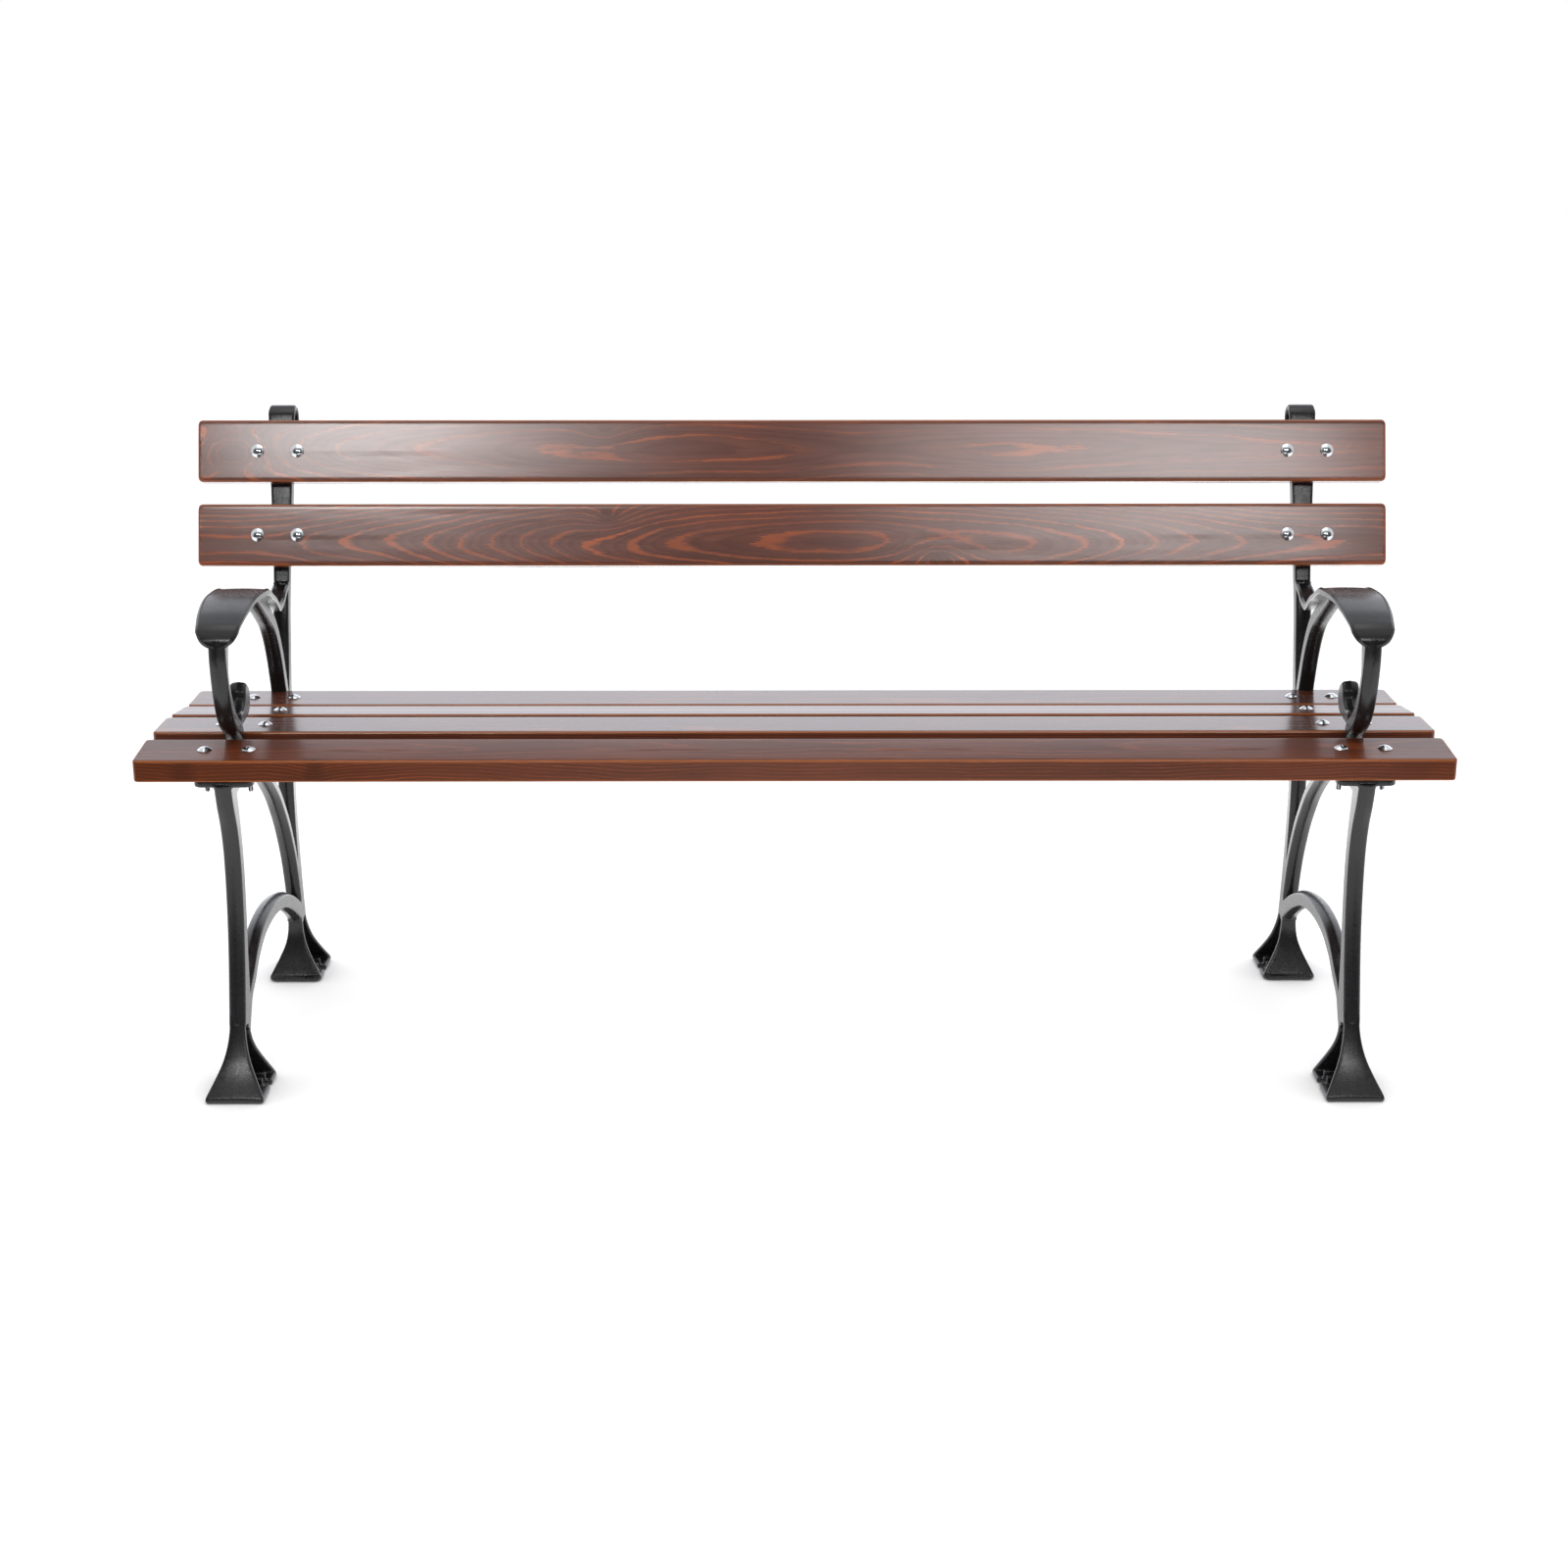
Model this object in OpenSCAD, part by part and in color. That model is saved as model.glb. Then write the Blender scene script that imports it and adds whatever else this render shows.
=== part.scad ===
// Garden bench: two mirrored cast iron side frames carry four seat slats and two back slats.
// X runs along the slats, Y from front to back, Z up from the ground.
// Each slat is held to an ear on each frame by two carriage bolts with washers and nuts.

/* [Slats] */
// Length of every slat
slat_len = 1500; // [1300:10:2000]
// Width of every slat across its face
slat_w = 78; // [66:1:90]
// Thickness of every slat
slat_t = 26; // [20:1:34]
// Radius on the long edges of a slat
slat_round = 3; // [1:0.5:6]
// Corner radius at the slat ends, seen square to the face
slat_corner = 6; // [2:0.5:12]

/* [Seat and back] */
// Distance from the end of a slat to the middle of its side frame
end_overhang = 100; // [60:5:140]
// Depth from the front edge of the seat to the rear leg
frame_depth = 400; // [370:1:440]
// Height of the underside of the front slat at its middle
seat_z = 380; // [340:1:440]
// Height of the back plane's reference point, the middle of the lower back slat
back_z = 577; // [555:1:610]
// Distance between the middles of the two back slats
back_pitch = 106; // [96:1:120]
// Lean of the back from upright, in degrees
back_lean = 16.2; // [10:0.1:22]
// How far the seat dips from its highest slat to the rear one
seat_dip = 15.5; // [10:0.5:20]
// Distance from the lower back slat down to the ledge on the post
ledge_drop = 19; // [14:0.5:24]
// Distance from the upper back slat up to the middle of the rolled top
roll_rise = 7.5; // [5:0.5:12]
// Height of the highest point of the arm rest
arm_z = 570; // [545:1:590]

/* [Casting] */
// Width of the plain bars of the casting, along X
bar_w = 19.5; // [15:0.5:26]
// Depth of the leg bars
leg_d = 22; // [18:0.5:28]
// Depth of the arch between the legs
arch_d = 18; // [13:0.5:22]
// Height of the middle of the arch at its crown
arch_z = 152.5; // [130:0.5:190]
// Depth of the brace that runs from the rear leg to the seat rail
brace_d = 13.5; // [10:0.5:18]
// Depth of the seat rail under the slats
rail_d = 20; // [16:0.5:26]
// Depth of the arm's rear support
support_d = 17.5; // [13:0.5:22]
// Greatest width of the arm rest
arm_w = 62; // [44:1:74]
// Distance from the front edge of the seat back to the arm's nose
arm_setback = 15; // [8:1:24]
// Thickness of the arm rest at its crest
arm_t = 8; // [5:0.5:11]
// How far the arm's nose hangs under the highest point of the arm
nose_h = 41.5; // [36:0.5:52]
// How far the arm dips in front of the post
arm_dip = 67; // [50:1:76]
// Depth of the scroll under the arm
scroll_d = 18; // [14:0.5:22]
// Height of the scroll's bud above the reference height of the seat
bud_h = 84; // [70:1:96]
// Depth of the ledge on the post
ledge = 5; // [3:0.5:7]
// Width of the post at its rolled top
head_w = 34; // [26:0.5:42]
// Outer radius of the rolled top of the post
roll_r = 18; // [14:0.5:24]
// Thickness of the strip that makes the rolled top
roll_t = 7; // [5:0.5:9]

/* [Feet] */
// Height of the hollow part of a foot
foot_h = 78; // [64:1:92]
// Width of a foot on the ground, along X
foot_w = 68; // [56:1:84]
// How far the front foot reaches in front of the seat edge
foot_reach = 33; // [24:1:45]
// Length of the front foot on the ground, front to back
front_foot_len = 95; // [84:1:110]
// Length of the rear foot on the ground, front to back
rear_foot_len = 88; // [80:1:104]
// Thickness of the sloping flanges of a foot
flange_t = 6.5; // [4:0.5:9]
// Thickness of the web between the flanges
web_t = 8; // [5:0.5:12]
// Thickness of the base plate of a foot
base_t = 7; // [5:0.5:10]
// Width of the notch for a ground anchor
notch_w = 13; // [9:0.5:16]
// Height of the raised wall round the notch, above the base plate
boss_h = 9; // [5:0.5:14]
// Thickness of the raised wall round the notch
boss_wall = 5; // [3:0.5:7]
// Corner radius of a foot at its inner end
foot_corner = 10; // [6:0.5:14]

/* [Ears and bolts] */
// Width of an ear along X
ear_w = 68; // [62:1:80]
// Thickness of an ear
ear_t = 8; // [6:0.5:10]
// How much shorter an ear is than the slat is wide
ear_inset = 8; // [4:1:24]
// Corner radius of an ear
ear_r = 10; // [4:0.5:16]
// Distance between the two bolts of a slat at one frame
bolt_pitch = 50; // [44:1:54]
// Diameter of the bolt shank
bolt_d = 6; // [5:0.5:8]
// Length of a bolt under its head
bolt_len = 50; // [48:1:60]
// Diameter of the domed bolt head
head_d = 16.5; // [13:0.5:20]
// Height of the domed bolt head
head_h = 4; // [3:0.25:6]
// Side of the square neck under the head
neck_sq = 6.5; // [6:0.25:9]
// Length of the square neck
neck_len = 4; // [3:0.25:6]
// Clearance round a bolt in its hole, on the diameter
hole_clear = 1; // [0.4:0.1:2]
// Clearance on each side of a square neck in its slat
neck_play = 0.2; // [0.1:0.05:0.4]
// Width of a nut across its flats
nut_af = 10; // [9:0.5:13]
// Height of a nut
nut_h = 5; // [4:0.25:7]
// Diameter of a washer
washer_d = 12.5; // [11:0.5:18]
// Thickness of a washer
washer_t = 1.6; // [1:0.1:2.5]
// Room beside the scroll's neck where it rises between two slats
neck_clear = 7; // [4:0.5:9]

/* [Hidden] */
$fn = 48;
iron = [0.09, 0.09, 0.1];
wood = [0.36, 0.15, 0.09];
zinc = [0.78, 0.79, 0.8];

// The back slats lie on a leaning plane; a place on it is given by its distance from the lower slat.
back_y = 1.111 * frame_depth;
function on_back(s, behind = 0) =
    [back_y + s * sin(back_lean) + behind * cos(back_lean),
     back_z + s * cos(back_lean) - behind * sin(back_lean)];

// Slat seats: middle of the underside in Y and Z, then the tilt, rear edge up being positive.
seat_front = [0.1025 * frame_depth, seat_z + 0.03 * seat_dip, 3.9];
seat_second = [0.365 * frame_depth, seat_z + 0.16 * seat_dip, -1.3];
seat_third = [0.6085 * frame_depth, seat_z - 0.355 * seat_dip, -6.7];
seat_rear = [0.848 * frame_depth, seat_z - 0.84 * seat_dip, -0.4];
back_lower = concat(on_back(0), [90 - back_lean]);
back_upper = concat(on_back(back_pitch), [90 - back_lean]);
seats = [seat_front, seat_second, seat_third, seat_rear, back_lower, back_upper];

frame_spacing = slat_len - 2 * end_overhang;

// The scroll's neck passes through the first gap of the seat.
neck_y = (seat_front[0] + seat_second[0]) / 2;
neck_d = seat_second[0] - seat_front[0] - slat_w - 2 * neck_clear;
ear_len = slat_w - ear_inset;
hole_d = bolt_d + hole_clear;

// The arm ends in a ledge on the post, just under the lower back slat.
ledge_s = -slat_w / 2 - ledge_drop;
arm_tip_y = arm_setback;
arm_end_y = on_back(ledge_s)[0] - ledge / 2;

// The rolled top: its centre lies one radius behind the back plane.
roll_s = back_pitch + slat_w / 2 + roll_rise;
roll_c = on_back(roll_s, roll_r);

// Ground reach, and the shift that puts the origin under the middle of the bench.
foot_front_y = -foot_reach;
foot_back_y = 1.1625 * frame_depth;
reach_back_y = max(foot_back_y, roll_c[0] + roll_r);
middle_y = (foot_front_y + reach_back_y) / 2;

// Heights given as shares of the leg, of the arch's rise and of the space under the arm.
function leg_z(f) = foot_h + f * (seat_z - foot_h);
function rise_z(f) = foot_h + f * (arch_z - foot_h);
function arm_gap_z(f) = seat_z + f * (arm_z - seat_z);
function deep(f) = f * frame_depth;
function arm_y(f) = arm_tip_y + f * (arm_end_y - arm_tip_y);
function nose_z(f) = arm_z - f * nose_h;
function dip_z(f) = arm_z - f * arm_dip;

// Each bar of the casting is a line of knots: Y, Z and the depth of the bar there.
front_leg_line = [
    [deep(0.0575), leg_z(0.985), 1.86 * leg_d], [deep(0.0675), leg_z(0.9), 1.45 * leg_d],
    [deep(0.0925), leg_z(0.8), 1.11 * leg_d], [deep(0.11), leg_z(0.69), leg_d],
    [deep(0.115), leg_z(0.57), leg_d], [deep(0.11), leg_z(0.42), leg_d],
    [deep(0.097), leg_z(0.27), 1.09 * leg_d], [deep(0.0825), leg_z(0.11), 1.5 * leg_d],
    [deep(0.0625), leg_z(0), 1.5 * leg_d]];
rear_leg_line = [
    [deep(1.0325), leg_z(0), 1.5 * leg_d], [deep(1.024), leg_z(0.12), 1.09 * leg_d],
    [deep(1.0125), leg_z(0.22), 1.05 * leg_d], [deep(1), leg_z(0.36), leg_d],
    [deep(0.991), leg_z(0.5), leg_d], [deep(0.99), leg_z(0.62), leg_d],
    [deep(0.995), leg_z(0.8), leg_d], [deep(1.0075), arm_gap_z(0.03), leg_d],
    [deep(1.0225), arm_gap_z(0.185), 0.93 * leg_d], [deep(1.04), arm_gap_z(0.353), 0.93 * leg_d],
    concat(on_back(ledge_s - 0.38 * back_pitch, leg_d / 2 - ledge), [0.95 * leg_d]),
    concat(on_back(ledge_s, leg_d / 2 - ledge), [leg_d])];
arch_line = [
    [deep(0.079), rise_z(-0.107), arch_d], [deep(0.099), rise_z(0.06), arch_d],
    [deep(0.1375), rise_z(0.342), arch_d], [deep(0.203), rise_z(0.54), arch_d],
    [deep(0.276), rise_z(0.775), arch_d], [deep(0.38), rise_z(0.953), arch_d],
    [deep(0.5), rise_z(1), arch_d], [deep(0.62), rise_z(0.953), arch_d],
    [deep(0.745), rise_z(0.812), 1.03 * arch_d], [deep(0.87), rise_z(0.557), 1.13 * arch_d],
    [deep(0.9775), rise_z(0.259), 1.19 * arch_d], [deep(1.035), rise_z(0.04), 1.22 * arch_d]];
brace_line = [
    [deep(1.01), leg_z(0.12), brace_d], [deep(0.9875), leg_z(0.21), brace_d],
    [deep(0.957), leg_z(0.305), brace_d], [deep(0.92), leg_z(0.39), brace_d],
    [deep(0.87), leg_z(0.487), brace_d], [deep(0.8125), leg_z(0.573), brace_d],
    [deep(0.745), leg_z(0.662), brace_d], [deep(0.655), leg_z(0.75), brace_d],
    [deep(0.56), leg_z(0.823), brace_d], [deep(0.46), leg_z(0.885), 1.07 * brace_d],
    [deep(0.37), leg_z(0.94), 1.22 * brace_d]];
support_line = [
    [deep(0.565), arm_gap_z(0.86), 0.55 * support_d], [deep(0.65), arm_gap_z(0.785), support_d],
    [deep(0.73), arm_gap_z(0.69), support_d], [deep(0.8025), arm_gap_z(0.592), support_d],
    [deep(0.8575), arm_gap_z(0.468), support_d], [deep(0.9), arm_gap_z(0.326), support_d],
    [deep(0.93), arm_gap_z(0.184), support_d], [deep(0.955), arm_gap_z(0.05), support_d],
    [deep(0.975), arm_gap_z(-0.08), support_d]];
scroll_line = [
    [0.31 * neck_y, arm_gap_z(0.83), 1.28 * scroll_d], [0.278 * neck_y, arm_gap_z(0.71), scroll_d],
    [0.278 * neck_y, arm_gap_z(0.63), 0.75 * scroll_d], [0.305 * neck_y, arm_gap_z(0.56), 0.72 * scroll_d],
    [0.348 * neck_y, arm_gap_z(0.495), 0.8 * scroll_d], [0.428 * neck_y, arm_gap_z(0.42), 0.92 * scroll_d],
    [0.535 * neck_y, arm_gap_z(0.34), 0.97 * scroll_d], [0.679 * neck_y, arm_gap_z(0.275), scroll_d],
    [0.829 * neck_y, arm_gap_z(0.23), scroll_d], [0.957 * neck_y, arm_gap_z(0.18), 0.94 * scroll_d],
    [neck_y, arm_gap_z(0.12), neck_d], [neck_y, arm_gap_z(0.02), neck_d],
    [neck_y, arm_gap_z(-0.08), neck_d]];
// The bud at the end of the scroll, as shares of its height, from the neck and from the seat's height.
bud_ring = [
    [-0.05, 0.5], [0.32, 0.51], [0.525, 0.57], [0.62, 0.725], [0.56, 0.905],
    [0.39, 1], [0.285, 0.915], [0.24, 0.775], [0.095, 0.69], [-0.095, 0.68]];
arm_line = [
    [arm_y(0.006), nose_z(1), 0.7 * arm_t], [arm_y(0.006), nose_z(0.86), 0.72 * arm_t],
    [arm_y(0.01), nose_z(0.74), 0.72 * arm_t], [arm_y(0.019), nose_z(0.62), 0.72 * arm_t],
    [arm_y(0.034), nose_z(0.49), 0.72 * arm_t], [arm_y(0.056), nose_z(0.39), 0.72 * arm_t],
    [arm_y(0.113), nose_z(0.224), 0.8 * arm_t],
    [arm_y(0.198), arm_z - arm_t / 2, 0.88 * arm_t], [arm_y(0.27), arm_z - arm_t / 2, arm_t],
    [arm_y(0.39), dip_z(0.12), arm_t], [arm_y(0.465), dip_z(0.23), arm_t],
    [arm_y(0.55), dip_z(0.39), arm_t], [arm_y(0.648), dip_z(0.58), arm_t],
    [arm_y(0.733), dip_z(0.8), arm_t], [arm_y(0.807), dip_z(0.955), arm_t],
    [arm_y(0.86), dip_z(1), arm_t], [arm_y(0.907), dip_z(0.963), arm_t],
    [arm_y(0.951), dip_z(0.858), arm_t], [arm_y(1), on_back(ledge_s)[1] - arm_t / 2, arm_t]];
// Half the arm's width along its length, as shares of the widest place.
arm_plan = [
    [0, 0.52], [0.012, 0.74], [0.05, 0.82], [0.11, 0.9], [0.2, 0.97], [0.32, 1], [0.4, 0.995],
    [0.465, 0.94], [0.54, 0.81], [0.63, 0.69], [0.73, 0.57], [0.82, 0.42], [0.88, 0.34], [1.05, 0.31]];
// Front view of the arm's nose: half widths as shares of the widest place, drops as shares of its height.
arm_nose = [[0, 1.02], [0.26, 0.965], [0.46, 0.89], [0.6, 0.79], [0.72, 0.65], [0.84, 0.475],
            [1, 0.29], [1, -0.3]];
rail_drop = ear_t + 0.425 * rail_d;
rail_line = [
    [deep(0.03), seat_front[1] - rail_drop - 0.05 * rail_d, 0.9 * rail_d],
    [seat_front[0], seat_front[1] - rail_drop, rail_d],
    [neck_y, seat_second[1] - rail_drop, rail_d], [seat_second[0], seat_second[1] - rail_drop, rail_d],
    [seat_third[0], seat_third[1] - rail_drop, rail_d], [seat_rear[0], seat_rear[1] - rail_drop, rail_d],
    [deep(1), seat_rear[1] - rail_drop, rail_d]];

// Smooth curve through knots of any length, with n steps from each knot to the next.
function knot(k, i) = k[min(max(i, 0), len(k) - 1)];
function blend(a, b, c, d, t) =
    0.5 * (2 * b + (c - a) * t + (2 * a - 5 * b + 4 * c - d) * t * t + (3 * b - a - 3 * c + d) * t * t * t);
function curve(k, n) = concat(
    [for (i = [0:len(k) - 2]) for (j = [0:n - 1])
        blend(knot(k, i - 1), k[i], k[i + 1], knot(k, i + 2), j / n)],
    [k[len(k) - 1]]);
function ring(k, n) = let (m = len(k))
    [for (i = [0:m - 1]) for (j = [0:n - 1])
        blend(k[(i + m - 1) % m], k[i], k[(i + 1) % m], k[(i + 2) % m], j / n)];
function reversed(v) = [for (i = [len(v) - 1:-1:0]) v[i]];
function flat(v) = [v[0], v[1]];
function normal(p, i) =
    let (d = flat(knot(p, i + 1)) - flat(knot(p, i - 1)))
    [-d[1], d[0]] / norm(d);
function side_of(p, s) = [for (i = [0:len(p) - 1]) flat(p[i]) + s * p[i][2] / 2 * normal(p, i)];

// Closes a line of half widths with its mirror image.
function both_halves(v) = concat(v, reversed([for (p = v) [-p[0], p[1]]]));

// Outline of a bar whose depth follows its knots.
module bar_2d(line, n = 4) {
    p = curve(line, n);
    polygon(concat(side_of(p, 1), reversed(side_of(p, -1))));
}

// Lays an outline drawn in Y and Z across a width along X.
module across(width) {
    rotate([90, 0, 90])
        linear_extrude(width, center = true)
            children();
}

// Runs an outline drawn in X and Z from y0 to y1.
module along_y(y0, y1) {
    translate([0, y1, 0])
        rotate([90, 0, 0])
            linear_extrude(y1 - y0)
                children();
}

module rounded_rect_2d(w, h, r) {
    square([w - 2 * r, h], center = true);
    square([w, h - 2 * r], center = true);
    for (x = [-1, 1], y = [-1, 1])
        translate([x * (w / 2 - r), y * (h / 2 - r)])
            circle(r);
}

// Moves children to a slat's seat: X along the slat, Z out of its face, origin on its underside.
module on_seat(seat) {
    translate([0, seat[0], seat[1]])
        rotate([seat[2], 0, 0])
            children();
}

module at_bolts() {
    for (x = [-1, 1])
        translate([x * bolt_pitch / 2, 0, 0])
            children();
}

// Faces of a foot: outer and inner lines from the leg down to the ground.
function outer_face(top, tip) = curve([for (k = [[0, 1.18], [0.133, 0.96], [0.29, 0.74], [0.47, 0.53],
    [0.7, 0.32], [1, base_t / foot_h]]) [top + k[0] * (tip - top), k[1] * foot_h]], 4);
function inner_face(waist, tip) = curve([for (k = [[0.35, 1.15], [0.06, 1.02], [0, 0.88], [0.06, 0.74],
    [0.25, 0.56], [0.58, 0.34], [1, base_t / foot_h]]) [waist + k[0] * (tip - waist), k[1] * foot_h]], 4);
function shifted(p, dy) = [for (v = p) [v[0] + dy, v[1]]];

// Front view of a flange, widening from the bar to the foot, as half widths and heights.
function flare(start, mid, end_w) = curve([[bar_w / 2, foot_h * 1.2], [bar_w / 2, foot_h * start],
    [bar_w / 2 + mid * (end_w - bar_w) / 2, foot_h * 0.53], [end_w / 2, base_t]], 6);
module flare_2d(start, mid, end_w) {
    polygon(both_halves(flare(start, mid, end_w)));
}

module foot_base_2d(y_out, y_in) {
    s = sign(y_in - y_out);
    length = abs(y_in - y_out);
    translate([0, (y_out + y_in) / 2])
        rounded_rect_2d(foot_w, length, foot_corner);
    translate([-foot_w / 2, min(y_out, y_out + s * 2 * foot_corner)])
        square([foot_w, 2 * foot_corner]);
}

// A foot of the side frame; its anchor notch opens to the inner side, +X.
module foot(top, tip, waist, inner_tip) {
    s = sign(inner_tip - tip);
    low = min(tip, inner_tip);
    high = max(tip, inner_tip);
    depth = 1.1 * flange_t;
    outer = outer_face(top, tip + s * 0.15 * base_t);
    inner = inner_face(waist, inner_tip - s * 0.7 * base_t);
    notch_y = (tip + inner_tip) / 2 + s * 0.3 * notch_w;
    notch_end = foot_w / 2 - 1.6 * boss_wall;
    notch_x = web_t / 2 + boss_wall + notch_w / 2;
    bevel = 0.5 * base_t;
    difference() {
        union() {
            intersection() {
                across(foot_w)
                    polygon(concat(outer, reversed(shifted(outer, s * depth))));
                along_y(low - leg_d, high + leg_d)
                    flare_2d(0.9, 0.28, 0.985 * foot_w);
            }
            intersection() {
                across(foot_w)
                    polygon(concat(inner, reversed(shifted(inner, -s * depth))));
                along_y(low - leg_d, high + leg_d)
                    flare_2d(0.84, 0.24, 0.955 * foot_w);
            }
            across(web_t)
                polygon(concat(outer, reversed(inner)));
            intersection() {
                linear_extrude(base_t)
                    foot_base_2d(tip, inner_tip);
                along_y(low - 1, high + 1)
                    polygon(both_halves([[foot_w / 2 - bevel, 0], [foot_w / 2, bevel],
                                         [0.4925 * foot_w, base_t]]));
            }
            translate([notch_x, notch_y, base_t - 1])
                cylinder(d = notch_w + 2 * boss_wall, h = boss_h + 1);
            translate([notch_x, notch_y - notch_w / 2 - boss_wall, base_t - 1])
                cube([notch_end - notch_x, notch_w + 2 * boss_wall, boss_h + 1]);
        }
        translate([notch_x, notch_y, -1])
            cylinder(d = notch_w, h = base_t + boss_h + 2);
        translate([notch_x, notch_y - notch_w / 2, -1])
            cube([foot_w, notch_w, base_t + boss_h + 2]);
    }
}

module ear(seat) {
    on_seat(seat)
        translate([0, 0, -ear_t])
            linear_extrude(ear_t)
                rounded_rect_2d(ear_w, ear_len, ear_r);
}

// The arm rest: a curved strip, seen from above as a leaf that narrows towards the post.
module arm() {
    plan = curve([for (k = arm_plan) [k[1] * arm_w / 2, arm_y(k[0])]], 4);
    nose = curve([for (k = arm_nose) [k[0] * arm_w / 2, nose_z(k[1])]], 4);
    intersection() {
        across(arm_w)
            bar_2d(arm_line);
        translate([0, 0, dip_z(2)])
            linear_extrude(3 * arm_dip)
                polygon(both_halves(plan));
        union() {
            along_y(arm_tip_y - arm_t, arm_y(0.2))
                polygon(both_halves(nose));
            along_y(arm_y(0.2), arm_end_y + arm_t)
                translate([-arm_w, dip_z(2)])
                    square([2 * arm_w, 3 * arm_dip]);
        }
    }
}

// Upper post: its front face lies on the back plane, and its top rolls over to the rear.
function roll_arc(r, n) = [for (i = [0:n]) let (a = 180 - back_lean - i * (205 - back_lean) / n)
    [roll_c[0] + r * cos(a), roll_c[1] + r * sin(a)]];
module upper_post() {
    n = 20;
    tip_a = -25;
    tip_r = roll_r - roll_t / 2;
    half_0 = bar_w / 2;
    top_z = roll_c[1] + roll_r;
    low_z = on_back(ledge_s)[1];
    round_r = 0.18 * head_w;
    low_s = ledge_s - leg_d;
    intersection() {
        across(head_w + 2)
            union() {
                polygon(concat([on_back(low_s)], roll_arc(roll_r, n), reversed(roll_arc(roll_r - roll_t, n)),
                               [on_back(roll_s - 0.21 * back_pitch, roll_t),
                                on_back(roll_s - 0.47 * back_pitch, 0.73 * leg_d),
                                on_back(roll_s - 0.8 * back_pitch, 0.95 * leg_d),
                                on_back(low_s, leg_d - ledge)]));
                translate([roll_c[0] + tip_r * cos(tip_a), roll_c[1] + tip_r * sin(tip_a)])
                    circle(d = roll_t);
            }
        along_y(frame_depth, reach_back_y + roll_t)
            union() {
                polygon(both_halves([[half_0, low_z - 2 * leg_d], [half_0, low_z + leg_d / 2],
                                     [head_w / 2, top_z - round_r]]));
                translate([0, top_z - round_r])
                    rounded_rect_2d(head_w, 2 * round_r, 0.92 * round_r);
            }
    }
}

module frame_bars() {
    across(bar_w)
        union() {
            bar_2d(front_leg_line);
            bar_2d(rear_leg_line);
            bar_2d(arch_line);
            bar_2d(brace_line);
            bar_2d(support_line);
            bar_2d(scroll_line);
            bar_2d(rail_line);
            translate([neck_y, seat_z])
                polygon(ring(bud_h * bud_ring, 4));
        }
}

// One side frame with its middle at X = 0; the inner side is +X.
module side_frame() {
    difference() {
        union() {
            frame_bars();
            upper_post();
            arm();
            foot(deep(0.03), foot_front_y, deep(0.0975), foot_front_y + front_foot_len);
            foot(deep(1.0675), foot_back_y, deep(1), foot_back_y - rear_foot_len);
            for (seat = seats)
                ear(seat);
        }
        for (seat = seats)
            on_seat(seat)
                at_bolts()
                    translate([0, 0, -ear_t - rail_d])
                        cylinder(d = hole_d, h = ear_t + rail_d + 1);
    }
}

// A slat lying along X on its seat, drilled for its bolts and notched for their square necks.
module slat(seat) {
    pocket = neck_sq + 2 * neck_play;
    color(wood)
        translate([0, -middle_y, 0])
            on_seat(seat)
                difference() {
                    intersection() {
                        translate([0, 0, slat_t / 2])
                            rotate([90, 0, 90])
                                linear_extrude(slat_len, center = true)
                                    rounded_rect_2d(slat_w, slat_t, slat_round);
                        translate([0, 0, -1])
                            linear_extrude(slat_t + 2)
                                rounded_rect_2d(slat_len, slat_w, slat_corner);
                    }
                    for (x = [-1, 1])
                        translate([x * frame_spacing / 2, 0, 0])
                            at_bolts() {
                                translate([0, 0, -1])
                                    cylinder(d = hole_d, h = slat_t + 2);
                                translate([-pocket / 2, -pocket / 2, slat_t - neck_len - neck_play])
                                    cube([pocket, pocket, neck_len + 1]);
                            }
                }
}

// Repeats one fastener at the four bolts of a slat.
module at_slat_bolts(seat, height) {
    translate([0, -middle_y, 0])
        on_seat(seat)
            for (x = [-1, 1])
                translate([x * frame_spacing / 2, 0, height])
                    at_bolts()
                        children();
}

module carriage_bolt() {
    dome_r = (head_d * head_d / 4 + head_h * head_h) / (2 * head_h);
    intersection() {
        translate([0, 0, head_h - dome_r])
            sphere(dome_r);
        cylinder(d = head_d, h = head_h + 1);
    }
    translate([-neck_sq / 2, -neck_sq / 2, -neck_len])
        cube([neck_sq, neck_sq, neck_len]);
    translate([0, 0, -bolt_len])
        cylinder(d = bolt_d, h = bolt_len);
}

module bolts(seat) {
    color(zinc)
        at_slat_bolts(seat, slat_t)
            carriage_bolt();
}

module washers(seat) {
    color(zinc)
        at_slat_bolts(seat, -ear_t - washer_t)
            difference() {
                cylinder(d = washer_d, h = washer_t);
                translate([0, 0, -1])
                    cylinder(d = bolt_d + 2 * neck_play, h = washer_t + 2);
            }
}

module nuts(seat) {
    color(zinc)
        at_slat_bolts(seat, -ear_t - washer_t - nut_h)
            difference() {
                cylinder(d = nut_af / cos(30), h = nut_h, $fn = 6);
                translate([0, 0, -1])
                    cylinder(d = bolt_d + neck_play, h = nut_h + 2);
            }
}

module side_frame_left() {
    color(iron)
        translate([-frame_spacing / 2, -middle_y, 0])
            side_frame();
}

module side_frame_right() {
    color(iron)
        translate([frame_spacing / 2, -middle_y, 0])
            mirror([1, 0, 0])
                side_frame();
}

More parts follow.
